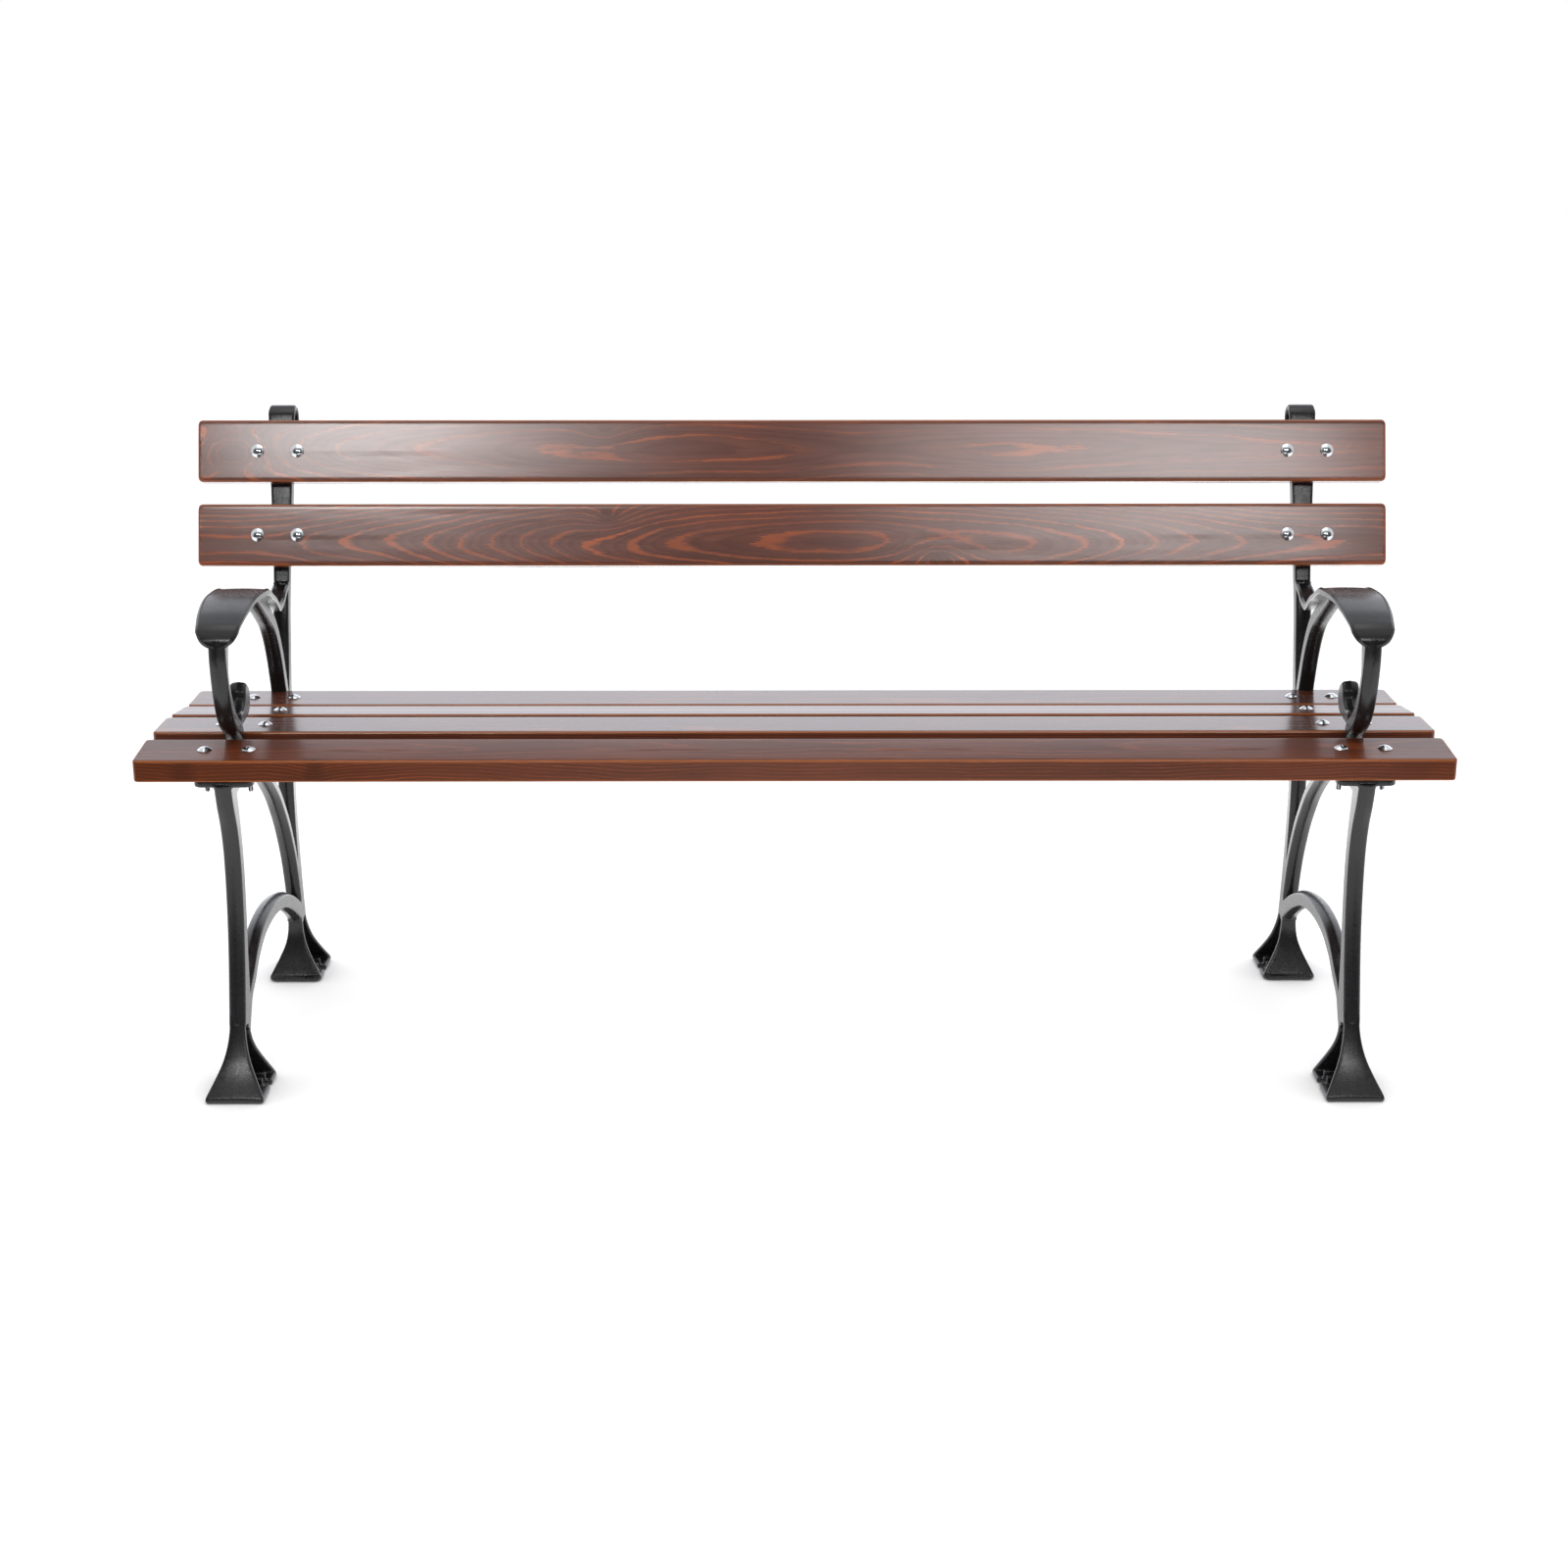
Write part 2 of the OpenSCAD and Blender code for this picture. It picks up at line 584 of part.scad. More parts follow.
side_frame_left();
side_frame_right();
slat(seat_front);  // seat_slat_front
slat(seat_second);  // seat_slat_second
slat(seat_third);  // seat_slat_third
slat(seat_rear);  // seat_slat_rear
slat(back_lower);  // back_slat_lower
slat(back_upper);  // back_slat_upper
bolts(seat_front);  // seat_front_bolts
bolts(seat_second);  // seat_second_bolts
bolts(seat_third);  // seat_third_bolts
bolts(seat_rear);  // seat_rear_bolts
bolts(back_lower);  // back_lower_bolts
bolts(back_upper);  // back_upper_bolts
washers(seat_front);  // seat_front_washers
washers(seat_second);  // seat_second_washers
washers(seat_third);  // seat_third_washers
washers(seat_rear);  // seat_rear_washers
washers(back_lower);  // back_lower_washers
washers(back_upper);  // back_upper_washers
nuts(seat_front);  // seat_front_nuts
nuts(seat_second);  // seat_second_nuts
nuts(seat_third);  // seat_third_nuts
nuts(seat_rear);  // seat_rear_nuts
nuts(back_lower);  // back_lower_nuts
nuts(back_upper);  // back_upper_nuts
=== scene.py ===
"""Looks of a garden bench: two painted cast iron side frames, six stained pine slats and carriage bolts.

Each operator in the sidebar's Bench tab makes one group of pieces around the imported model.
Lengths of the castings are drawn in millimetres and turned to metres as the mesh is made.
"""

import bisect
import math

import bmesh
import bpy
from mathutils import Euler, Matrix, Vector


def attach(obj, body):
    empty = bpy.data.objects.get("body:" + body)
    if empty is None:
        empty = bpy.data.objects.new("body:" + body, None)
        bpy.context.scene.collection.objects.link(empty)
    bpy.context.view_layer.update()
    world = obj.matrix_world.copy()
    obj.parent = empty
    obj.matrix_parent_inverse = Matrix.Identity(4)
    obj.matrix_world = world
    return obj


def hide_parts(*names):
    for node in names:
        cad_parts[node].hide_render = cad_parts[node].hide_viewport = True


bl_info = {
    "name": "Garden bench looks",
    "version": (1, 0, 0),
    "blender": (4, 5, 0),
    "location": "View3D > Sidebar > Bench",
    "description": "Makes the castings, slats and fasteners of a garden bench",
    "category": "Object",
}

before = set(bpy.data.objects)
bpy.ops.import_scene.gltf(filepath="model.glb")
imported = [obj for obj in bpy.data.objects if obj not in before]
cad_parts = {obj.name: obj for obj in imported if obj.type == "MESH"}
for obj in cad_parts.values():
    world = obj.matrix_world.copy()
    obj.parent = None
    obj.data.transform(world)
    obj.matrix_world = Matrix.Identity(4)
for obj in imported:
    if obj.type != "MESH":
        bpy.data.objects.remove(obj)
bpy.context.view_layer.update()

MM = 0.001
BODY = "root"

# Sizes of the bench, in millimetres. Y starts near the front edge of the seat until the mesh is made.
MIDDLE_Y = 244.616
FRAME_SPACING = 1300
FRAME_DEPTH = 400
SEAT_Z = 380
ARM_Z = 570
BACK_LEAN = math.radians(16.2)
BACK_Y = 1.111 * FRAME_DEPTH
BACK_Z = 577
BACK_PITCH = 106
SLAT_LENGTH = 1500
SLAT_WIDTH = 78
SLAT_THICKNESS = 26
BAR_WIDTH = 19.5
LEG = 22
ARCH = 18
ARCH_Z = 152.5
BRACE = 13.5
RAIL = 20
SUPPORT = 17.5
FOOT_HEIGHT = 78
FOOT_WIDTH = 68
FOOT_FRONT_Y = -33
FOOT_BACK_Y = 1.1625 * FRAME_DEPTH
FRONT_FOOT_LENGTH = 95
REAR_FOOT_LENGTH = 88
FLANGE = 7.15
BASE = 7
BASE_TIP_CORNER = 2.5
BASE_INNER_CORNER = 10
NOTCH = 13
NOTCH_WALL = 5
NOTCH_RISE = 9
WEB = 8
EAR_THICKNESS = 8
EAR_HALF_LENGTH = 34
EAR_HALF_WIDTH = 35
EAR_CORNER = 10
EAR_BEVEL = 1.2
BOLT_PITCH = 50
HOLE = 7
WASHER = 1.6
NUT = 5.0
LEDGE = 5
LEDGE_S = -SLAT_WIDTH / 2 - 19
ARM_WIDTH = 62
ARM_THICKNESS = 8
ARM_TIP_Y = 15
NOSE = 41.5
ARM_DIP = 67
SCROLL = 18
BUD = 84
SEAT_DIP = 15.5
HEAD_WIDTH = 34
ROLL_RADIUS = 18
ROLL_STRIP = 7

# The camera, in metres and degrees.
CAMERA_PLACE = (-0.0277, -3.1473, 1.2026)
CAMERA_PITCH = 15.892
CAMERA_YAW = 0.287


def on_back(s, behind=0.0):
    """Y and Z of a place on the leaning back plane, s up from the lower slat."""
    return (
        BACK_Y + s * math.sin(BACK_LEAN) + behind * math.cos(BACK_LEAN),
        BACK_Z + s * math.cos(BACK_LEAN) - behind * math.sin(BACK_LEAN),
    )


ARM_END_Y = on_back(LEDGE_S)[0] - LEDGE / 2
ROLL_S = BACK_PITCH + SLAT_WIDTH / 2 + 7.5
ROLL_CENTRE = on_back(ROLL_S, ROLL_RADIUS)

# Seats of the slats: middle of the underside in Y and Z, and the tilt in degrees.
SEATS = {
    "seat_front": (0.1025 * FRAME_DEPTH, SEAT_Z + 0.03 * SEAT_DIP, 3.9),
    "seat_second": (0.365 * FRAME_DEPTH, SEAT_Z + 0.16 * SEAT_DIP, -1.3),
    "seat_third": (0.6085 * FRAME_DEPTH, SEAT_Z - 0.355 * SEAT_DIP, -6.7),
    "seat_rear": (0.848 * FRAME_DEPTH, SEAT_Z - 0.84 * SEAT_DIP, -0.4),
    "back_lower": (*on_back(0), 90 - math.degrees(BACK_LEAN)),
    "back_upper": (*on_back(BACK_PITCH), 90 - math.degrees(BACK_LEAN)),
}
NECK_Y = (SEATS["seat_front"][0] + SEATS["seat_second"][0]) / 2
NECK = SEATS["seat_second"][0] - SEATS["seat_front"][0] - SLAT_WIDTH - 14


def in_place(seat):
    """A seat in metres, as the pieces stand."""
    return (0.0, (seat[0] - MIDDLE_Y) * MM, seat[1] * MM)


# Curves


def between(p, q, r, s, t):
    """Smooth way from q to r, with p before and s after them."""
    bend = 2 * p - 5 * q + 4 * r - s
    twist = 3 * q - p - 3 * r + s
    return 0.5 * (2 * q + (r - p) * t + bend * t * t + twist * t**3)


def through(knots, steps):
    """Smooth curve through knots of any length, with the given steps from each knot to the next."""
    made = []
    last = len(knots) - 1
    for i in range(last):
        near = [knots[min(max(j, 0), last)] for j in (i - 1, i, i + 1, i + 2)]
        for k in range(steps):
            made.append(tuple(between(*four, k / steps) for four in zip(*near)))
    made.append(tuple(knots[-1]))
    return made


def closed_through(knots, steps):
    """The same for a closed ring of knots."""
    n = len(knots)
    looped = [knots[(i - 1) % n] for i in range(n + 3)]
    return through(looped, steps)[steps : steps * (n + 1)]


def read_off(curve, x):
    """Value of a curve of (x, value) points at x, straight between the points."""
    points = sorted(curve)
    if x <= points[0][0]:
        return points[0][1]
    for (x0, v0), (x1, v1) in zip(points, points[1:]):
        if x <= x1:
            return v0 + (v1 - v0) * (x - x0) / max(x1 - x0, 1e-9)
    return points[-1][1]


def run_from(a, b):
    """Direction from one point to another."""
    return Vector((b[0] - a[0], b[1] - a[1])).normalized()


def arc(x, radius, start, end, count):
    """Points on an arc about (x, 0), angles in degrees."""
    angles = [math.radians(start + (end - start) * i / count) for i in range(count + 1)]
    return [(x + radius * math.cos(a), radius * math.sin(a)) for a in angles]


# Lines of the casting's bars


def share_between(start, end):
    """Turns a share into a place between two ends."""
    return lambda share: start + share * (end - start)


leg_z = share_between(FOOT_HEIGHT, SEAT_Z)
rise_z = share_between(FOOT_HEIGHT, ARCH_Z)
gap_z = share_between(SEAT_Z, ARM_Z)
nose_z = share_between(ARM_Z, ARM_Z - NOSE)
dip_z = share_between(ARM_Z, ARM_Z - ARM_DIP)
deep = share_between(0, FRAME_DEPTH)
to_neck = share_between(0, NECK_Y)
arm_y = share_between(ARM_TIP_Y, ARM_END_Y)


def bar(y, z, depth, shares):
    """Knots of a bar, Y, Z and depth, from shares of its reach, its height and its depth."""
    return [(y(a), z(b), c * depth) for a, b, c in shares]


FRONT_LEG = bar(deep, leg_z, LEG, [
    (0.0575, 0.985, 1.86), (0.0675, 0.9, 1.45), (0.0925, 0.8, 1.11), (0.11, 0.69, 1), (0.115, 0.57, 1),
    (0.11, 0.42, 1), (0.097, 0.27, 1.09), (0.0825, 0.11, 1.5), (0.0625, 0, 1.5),
])
REAR_LEG = [
    *bar(deep, leg_z, LEG, [
        (1.0325, 0, 1.5), (1.024, 0.12, 1.09), (1.0125, 0.22, 1.05), (1, 0.36, 1), (0.991, 0.5, 1),
        (0.99, 0.62, 1), (0.995, 0.8, 1),
    ]),
    *bar(deep, gap_z, LEG, [(1.0075, 0.03, 1), (1.0225, 0.185, 0.93), (1.04, 0.353, 0.93)]),
    (*on_back(LEDGE_S - 0.38 * BACK_PITCH, LEG / 2 - LEDGE), 0.95 * LEG),
    (*on_back(LEDGE_S, LEG / 2 - LEDGE), LEG),
]
ARCH_LINE = bar(deep, rise_z, ARCH, [
    (0.079, -0.107, 1), (0.099, 0.06, 1), (0.1375, 0.342, 1), (0.203, 0.54, 1), (0.276, 0.775, 1),
    (0.38, 0.953, 1), (0.5, 1, 1), (0.62, 0.953, 1), (0.745, 0.812, 1.03), (0.87, 0.557, 1.13),
    (0.9775, 0.259, 1.19), (1.035, 0.04, 1.22),
])
BRACE_LINE = bar(deep, leg_z, BRACE, [
    (1.01, 0.12, 1), (0.9875, 0.21, 1), (0.957, 0.305, 1), (0.92, 0.39, 1), (0.87, 0.487, 1),
    (0.8125, 0.573, 1), (0.745, 0.662, 1), (0.655, 0.75, 1), (0.56, 0.823, 1), (0.46, 0.885, 1.07),
    (0.37, 0.94, 1.22),
])
SUPPORT_LINE = bar(deep, gap_z, SUPPORT, [
    (0.565, 0.86, 0.55), (0.65, 0.785, 1), (0.73, 0.69, 1), (0.8025, 0.592, 1), (0.8575, 0.468, 1),
    (0.9, 0.326, 1), (0.93, 0.184, 1), (0.955, 0.05, 1), (0.975, -0.08, 1),
])
SCROLL_LINE = [
    *bar(to_neck, gap_z, SCROLL, [
        (0.31, 0.83, 1.28), (0.278, 0.71, 1), (0.278, 0.63, 0.75), (0.305, 0.56, 0.72), (0.348, 0.495, 0.8),
        (0.428, 0.42, 0.92), (0.535, 0.34, 0.97), (0.679, 0.275, 1), (0.829, 0.23, 1), (0.957, 0.18, 0.94),
    ]),
    *bar(to_neck, gap_z, NECK, [(1, 0.12, 1), (1, 0.02, 1), (1, -0.08, 1)]),
]
# The bud at the end of the scroll, as shares of its height, from the neck and from the seat's height.
BUD_RING = [
    (-0.05, 0.5), (0.32, 0.51), (0.525, 0.57), (0.62, 0.725), (0.56, 0.905), (0.39, 1), (0.285, 0.915),
    (0.24, 0.775), (0.095, 0.69), (-0.095, 0.68),
]
RAIL_DROP = EAR_THICKNESS + RAIL / 2 - 1.5
RAIL_LINE = [
    (y, SEATS[seat][1] - RAIL_DROP - less, RAIL - 2 * less)
    for y, seat, less in (
        (12, "seat_front", 1),
        (SEATS["seat_front"][0], "seat_front", 0),
        (NECK_Y, "seat_second", 0),
        (SEATS["seat_second"][0], "seat_second", 0),
        (SEATS["seat_third"][0], "seat_third", 0),
        (SEATS["seat_rear"][0], "seat_rear", 0),
        (deep(1), "seat_rear", 0),
    )
]
ARM_LINE = [
    *bar(arm_y, nose_z, ARM_THICKNESS, [
        (0.006, 1, 0.7), (0.006, 0.86, 0.72), (0.01, 0.74, 0.72), (0.019, 0.62, 0.72), (0.034, 0.49, 0.72),
        (0.056, 0.39, 0.72), (0.113, 0.224, 0.8),
    ]),
    (arm_y(0.198), ARM_Z - ARM_THICKNESS / 2, 0.88 * ARM_THICKNESS),
    (arm_y(0.27), ARM_Z - ARM_THICKNESS / 2, ARM_THICKNESS),
    *bar(arm_y, dip_z, ARM_THICKNESS, [
        (0.39, 0.12, 1), (0.465, 0.23, 1), (0.55, 0.39, 1), (0.648, 0.58, 1), (0.733, 0.8, 1),
        (0.807, 0.955, 1), (0.86, 1, 1), (0.907, 0.963, 1), (0.951, 0.858, 1),
    ]),
    (arm_y(1), on_back(LEDGE_S)[1] - ARM_THICKNESS / 2, ARM_THICKNESS),
]
# Half the arm's width: as seen from above along its length, and from the front down its nose.
ARM_PLAN = [
    (0, 0.52), (0.012, 0.74), (0.05, 0.82), (0.11, 0.9), (0.2, 0.97), (0.32, 1), (0.4, 0.995),
    (0.465, 0.94), (0.54, 0.81), (0.63, 0.69), (0.73, 0.57), (0.82, 0.42), (0.88, 0.34), (1.05, 0.31),
]
ARM_NOSE = [
    (1.02, 0), (0.965, 0.26), (0.89, 0.46), (0.79, 0.6), (0.65, 0.72), (0.475, 0.84), (0.29, 1), (-0.3, 1),
]
# The upper post: depth by place on the back plane.
POST = [(-78, 17), (-20, 19), (40, 21), (67, 20.5), (90, 18), (112, 12), (130, 7.6), (ROLL_S, ROLL_STRIP)]


# Castings


def skin(bm, rings, close_ends=True):
    """Joins rings of equal length, each a list of (x, y, z) in millimetres, into a closed skin."""
    loops = [[bm.verts.new(co) for co in ring] for ring in rings]
    n = len(loops[0])
    for a, b in zip(loops, loops[1:]):
        for i in range(n):
            bm.faces.new((a[i], a[(i + 1) % n], b[(i + 1) % n], b[i]))
    if close_ends:
        bm.faces.new(list(reversed(loops[0])))
        bm.faces.new(loops[-1])


def bar_section(half, depth, bevel, ridge):
    """Cross-section of a cast bar: bevelled corners, and faces that rise to the parting line."""
    d = depth / 2
    b = min(bevel, d - 0.5, half - 0.5)
    quarter = [(half, d - b), (half - b, d - 0.15 * ridge), (half * 0.35, d + 0.62 * ridge)]
    side = [*quarter, (0, d + ridge), *[(-x, h) for x, h in reversed(quarter)]]
    return [*side, *[(-x, -h) for x, h in side]]


def sweep_bar(bm, knots, steps=6, bevel=2.2, ridge=1.6):
    """Runs a cast bar's section along knots of Y, Z, depth and, where it changes, half width."""
    points = through(knots, steps)
    rings = []
    for i, (y, z, depth, *half) in enumerate(points):
        run = run_from(points[max(i - 1, 0)], points[min(i + 1, len(points) - 1)])
        section = bar_section(half[0] if half else BAR_WIDTH / 2, depth, bevel, ridge)
        rings.append([(x, y - h * run.y, z + h * run.x) for x, h in section])
    skin(bm, rings)


def plate(bm, outline, layers, axis="x"):
    """Stacks copies of a closed outline, each layer a place along the axis and an inset."""
    following = [*outline[1:], outline[0]]
    area = sum(a[0] * b[1] - b[0] * a[1] for a, b in zip(outline, following))
    turn = 1 if area > 0 else -1
    rings = []
    for place, inset in layers:
        ring = []
        for i, (a, b) in enumerate(outline):
            run = run_from(outline[i - 1], following[i])
            a2, b2 = a - turn * run.y * inset, b + turn * run.x * inset
            ring.append((place, a2, b2) if axis == "x" else (a2, b2, place))
        rings.append(ring)
    skin(bm, rings)


def flare(start, middle, end_width):
    """Half width of a foot's flange by height."""
    half, end = BAR_WIDTH / 2, end_width / 2
    knots = [(1.2, half), (start, half), (0.53, half + middle * (end - half))]
    curve = through([*[(h * FOOT_HEIGHT, w) for h, w in knots], (BASE, end)], 6)
    return lambda z: read_off(curve, z)


def flange(bm, face, thickness, widths, crown):
    """Sloping flange of a foot: its outer face is given by Y and Z, the thickness is signed."""
    s = math.copysign(1, thickness)
    bevel = 1.4
    rings = []
    for y, z in face:
        half = widths(z)
        outer = [(half, y + s * bevel), (half - bevel, y), (half * 0.45, y - s * 0.75 * crown)]
        inner = [(half, y + thickness - s * bevel), (half - bevel, y + thickness)]
        ring = [*[(-x, d) for x, d in outer], (0, y - s * crown), *reversed(outer)]
        ring += [*inner, *[(-x, d) for x, d in reversed(inner)]]
        rings.append([(x, d, z) for x, d in ring])
    skin(bm, rings)


def foot(bm, top, tip, waist, inner_tip):
    """A hollow foot: outer and inner flanges, the web between them, the base and its anchor notch."""
    s = math.copysign(1, inner_tip - tip)
    low = BASE / FOOT_HEIGHT
    outer = [(0, 1.18), (0.133, 0.96), (0.29, 0.74), (0.47, 0.53), (0.7, 0.32), (1, low)]
    inner = [(0.35, 1.15), (0.06, 1.02), (0, 0.88), (0.06, 0.74), (0.25, 0.56), (0.58, 0.34), (1, low)]
    outer = through([(top + k * (tip + s - top), h * FOOT_HEIGHT) for k, h in outer], 6)
    inner = through([(waist + k * (inner_tip - s * 5 - waist), h * FOOT_HEIGHT) for k, h in inner], 6)
    flange(bm, outer, s * FLANGE, flare(0.9, 0.28, FOOT_WIDTH - 1), 0.7)
    flange(bm, inner, -s * FLANGE, flare(0.84, 0.24, FOOT_WIDTH - 3), 0.5)
    plate(bm, [*outer, *reversed(inner)], [(-WEB / 2, 0), (WEB / 2, 0)])

    half = FOOT_WIDTH / 2
    notch_x = WEB / 2 + NOTCH_WALL + NOTCH / 2
    notch_y = (tip + inner_tip) / 2 + s * 4

    def round_notch(radius, start, end, count, way=1):
        """Part of a circle about the notch's inner end."""
        return [(notch_x + x, notch_y + way * y) for x, y in arc(0, radius, start, end, count)]

    corners = []
    for side, y_end, radius, start in (
        (1, tip, BASE_TIP_CORNER, -90),
        (1, inner_tip, BASE_INNER_CORNER, 0),
        (-1, inner_tip, BASE_INNER_CORNER, 90),
        (-1, tip, BASE_TIP_CORNER, 180),
    ):
        inward = s if y_end == tip else -s
        corner = arc(side * (half - radius), radius, start, start + 90, 6)
        corners.append([(x, y_end + inward * radius + s * y) for x, y in corner])
    mouth = [(half, notch_y - s * NOTCH / 2), *round_notch(NOTCH / 2, 270, 90, 12, s)]
    mouth.append((half, notch_y + s * NOTCH / 2))
    base = [*corners[0], *mouth, *corners[1], *corners[2], *corners[3]]
    if s < 0:
        base.reverse()
    plate(bm, base, [(0, 2.6), (1.2, 1.2), (3.4, 0), (BASE - 1, 0.4), (BASE, 1.4)], axis="z")

    wall = NOTCH / 2 + NOTCH_WALL
    end_x = half - 8
    top_z = BASE + NOTCH_RISE
    horseshoe = [
        (end_x, notch_y - wall),
        *round_notch(wall, 270, 90, 16),
        (end_x, notch_y + wall),
        (end_x, notch_y + NOTCH / 2),
        *round_notch(NOTCH / 2, 90, 270, 12),
        (end_x, notch_y - NOTCH / 2),
    ]
    plate(bm, horseshoe, [(BASE - 1, 0), (top_z - 1.2, 0), (top_z, 0.9)], axis="z")


def ear(bm, seat):
    """A slat's ear: a plate with rounded corners and two bolt holes, in two halves."""
    y0, z0, tilt = seat
    c, s = math.cos(math.radians(tilt)), math.sin(math.radians(tilt))
    corner_x, corner_v = EAR_HALF_LENGTH - EAR_CORNER, EAR_HALF_WIDTH - EAR_CORNER
    count = 72
    for side in (-1, 1):
        hole_x = side * BOLT_PITCH / 2
        outer, inner = [], []
        for i in range(count):
            dx, dv = math.cos(2 * math.pi * i / count), math.sin(2 * math.pi * i / count)
            far = EAR_HALF_LENGTH - side * hole_x if side * dx > 0 else side * hole_x + 1
            reach = min(far / max(abs(dx), 1e-6), EAR_HALF_WIDTH / max(abs(dv), 1e-6))
            if side * (hole_x + reach * dx) > corner_x and abs(reach * dv) > corner_v:
                # The ray meets the rounded corner instead.
                kx, kv = side * corner_x - hole_x, math.copysign(corner_v, dv)
                along = dx * kx + dv * kv
                gap = EAR_CORNER**2 - (kx**2 + kv**2 - along**2)
                if gap > 0:
                    reach = along + math.sqrt(gap)
            outer.append((hole_x + reach * dx, reach * dv))
            inner.append((hole_x + HOLE / 2 * dx, HOLE / 2 * dv))
        rings = []
        for ring, w, inset in (
            (inner, -EAR_THICKNESS, 0),
            (outer, -EAR_THICKNESS, EAR_BEVEL),
            (outer, -EAR_THICKNESS + EAR_BEVEL, 0),
            (outer, -EAR_BEVEL, 0),
            (outer, 0, EAR_BEVEL),
            (inner, 0, 0),
        ):
            placed = []
            for x, v in ring:
                k = 1 - inset / max(math.hypot(x - hole_x, v), 1e-6)
                x, v = hole_x + (x - hole_x) * k, v * k
                placed.append((x, y0 + v * c - w * s, z0 + v * s + w * c))
            rings.append(placed)
        skin(bm, [*rings, rings[0]], close_ends=False)


def arm_rest(bm):
    """The arm rest: a crowned strip with a chamfered rim, narrow at the post and turned down at its nose."""
    plan = through([(arm_y(f), w * ARM_WIDTH / 2) for f, w in ARM_PLAN], 6)
    nose = through([(nose_z(f), w * ARM_WIDTH / 2) for f, w in ARM_NOSE], 6)
    points = through(ARM_LINE, 10)
    last = len(points) - 1
    run = [0.0]
    for a, b in zip(points, points[1:]):
        run.append(run[-1] + math.hypot(b[0] - a[0], b[1] - a[1]))

    def place(s, x, h):
        """A place on the strip: s along it, x across it and h up from its middle."""
        i = min(max(bisect.bisect_right(run, s) - 1, 0), last - 1)
        f = (s - run[i]) / (run[i + 1] - run[i])
        (y0, z0, _), (y1, z1, _) = points[i], points[i + 1]
        before = run_from(points[max(i - 1, 0)], points[i + 1])
        after = run_from(points[i], points[min(i + 2, last)])
        way = before.lerp(after, f).normalized()
        return (x, y0 + f * (y1 - y0) - h * way.y, z0 + f * (z1 - z0) + h * way.x)

    halves = []
    for y, z, _ in points:
        half = read_off(plan, y)
        halves.append(min(half, read_off(nose, z)) if y < arm_y(0.2) else half)
    across = 11
    rim, drop, under_bevel = 3.6, 2.2, 0.7
    rings = []
    for i, s in enumerate(run):
        j, k = max(i - 1, 0), min(i + 1, last)
        edge = run_from((run[j], halves[j]), (run[k], halves[k]))
        half, t = halves[i], points[i][2]
        lip = 1.5 * max(0.0, 1 - s / 34)
        in_half = max(half - rim * edge.x, 0.3)
        crest = max(half - (rim - 0.9) * edge.x, 0.35)
        crest_s, crest_h = s + (rim - 0.9) * edge.y, t / 2 - 0.1 + 0.2 * lip
        crown = 1.1 * in_half / (ARM_WIDTH / 2)
        top = t / 2 - 0.1 - 0.8 * lip
        ring = [(s, half, t / 2 - drop), (crest_s, crest, crest_h)]
        for n in range(across):
            x = in_half * (1 - 2 * n / (across - 1))
            ring.append((s + rim * edge.y, x, top - crown * (x / in_half) ** 2))
        ring += [(crest_s, -crest, crest_h), (s, -half, t / 2 - drop)]
        ring += [(s, -half, -t / 2 + under_bevel), (s, -half + under_bevel, -t / 2)]
        ring += [(s, half - under_bevel, -t / 2), (s, half, -t / 2 + under_bevel)]
        rings.append([place(*p) for p in ring])
    skin(bm, rings)


def post(bm):
    """The upper post: flat front on the back plane, widening to the rolled top."""
    low_z = on_back(LEDGE_S)[1] + 10
    top_z = ROLL_CENTRE[1] + ROLL_RADIUS - 6
    knots = []
    for s, d in POST:
        y, z = on_back(s, d / 2)
        share = min(max((z - low_z) / (top_z - low_z), 0), 1)
        knots.append((y, z, d, BAR_WIDTH / 2 + (HEAD_WIDTH - BAR_WIDTH) / 2 * share))
    lean = 180 - math.degrees(BACK_LEAN)
    mid = ROLL_RADIUS - ROLL_STRIP / 2
    turns = 8
    for i in range(1, turns + 1):
        a = math.radians(lean - i * (lean + 25) / turns)
        depth = ROLL_STRIP if i < turns else ROLL_STRIP - 2.5
        half = HEAD_WIDTH / 2 - (0.4 if i in (2, 3, 4) else 0)
        knots.append((ROLL_CENTRE[0] + mid * math.cos(a), ROLL_CENTRE[1] + mid * math.sin(a), depth, half))
    sweep_bar(bm, knots, steps=5, bevel=2.0, ridge=0)


def casting_parts(bm):
    """Every part of one side frame, its middle at X = 0 and its inner side towards +X."""
    for line in (FRONT_LEG, REAR_LEG, SUPPORT_LINE):
        sweep_bar(bm, line)
    for line in (ARCH_LINE, BRACE_LINE, SCROLL_LINE):
        sweep_bar(bm, line, bevel=2.0, ridge=2.4)
    sweep_bar(bm, RAIL_LINE, ridge=0)
    bud = closed_through([(NECK_Y + y * BUD, SEAT_Z + z * BUD) for y, z in BUD_RING], 6)
    half, bevel = BAR_WIDTH / 2, 2.4
    plate(bm, bud, [(-half, bevel), (-half + bevel, 0), (0, -bevel / 2), (half - bevel, 0), (half, bevel)])
    post(bm)
    foot(bm, deep(0.03), FOOT_FRONT_Y, deep(0.0975), FOOT_FRONT_Y + FRONT_FOOT_LENGTH)
    foot(bm, deep(1.0675), FOOT_BACK_Y, deep(1), FOOT_BACK_Y - REAR_FOOT_LENGTH)
    for seat in SEATS.values():
        ear(bm, seat)


# Meshes and objects


def mesh_of(bm, name):
    """Mesh of a bmesh, which is freed."""
    mesh = bpy.data.meshes.new(name)
    bm.to_mesh(mesh)
    bm.free()
    return mesh


def to_object(name, mesh):
    """Puts a mesh, a lamp or a camera into the scene."""
    obj = bpy.data.objects.new(name, mesh)
    bpy.context.scene.collection.objects.link(obj)
    return obj


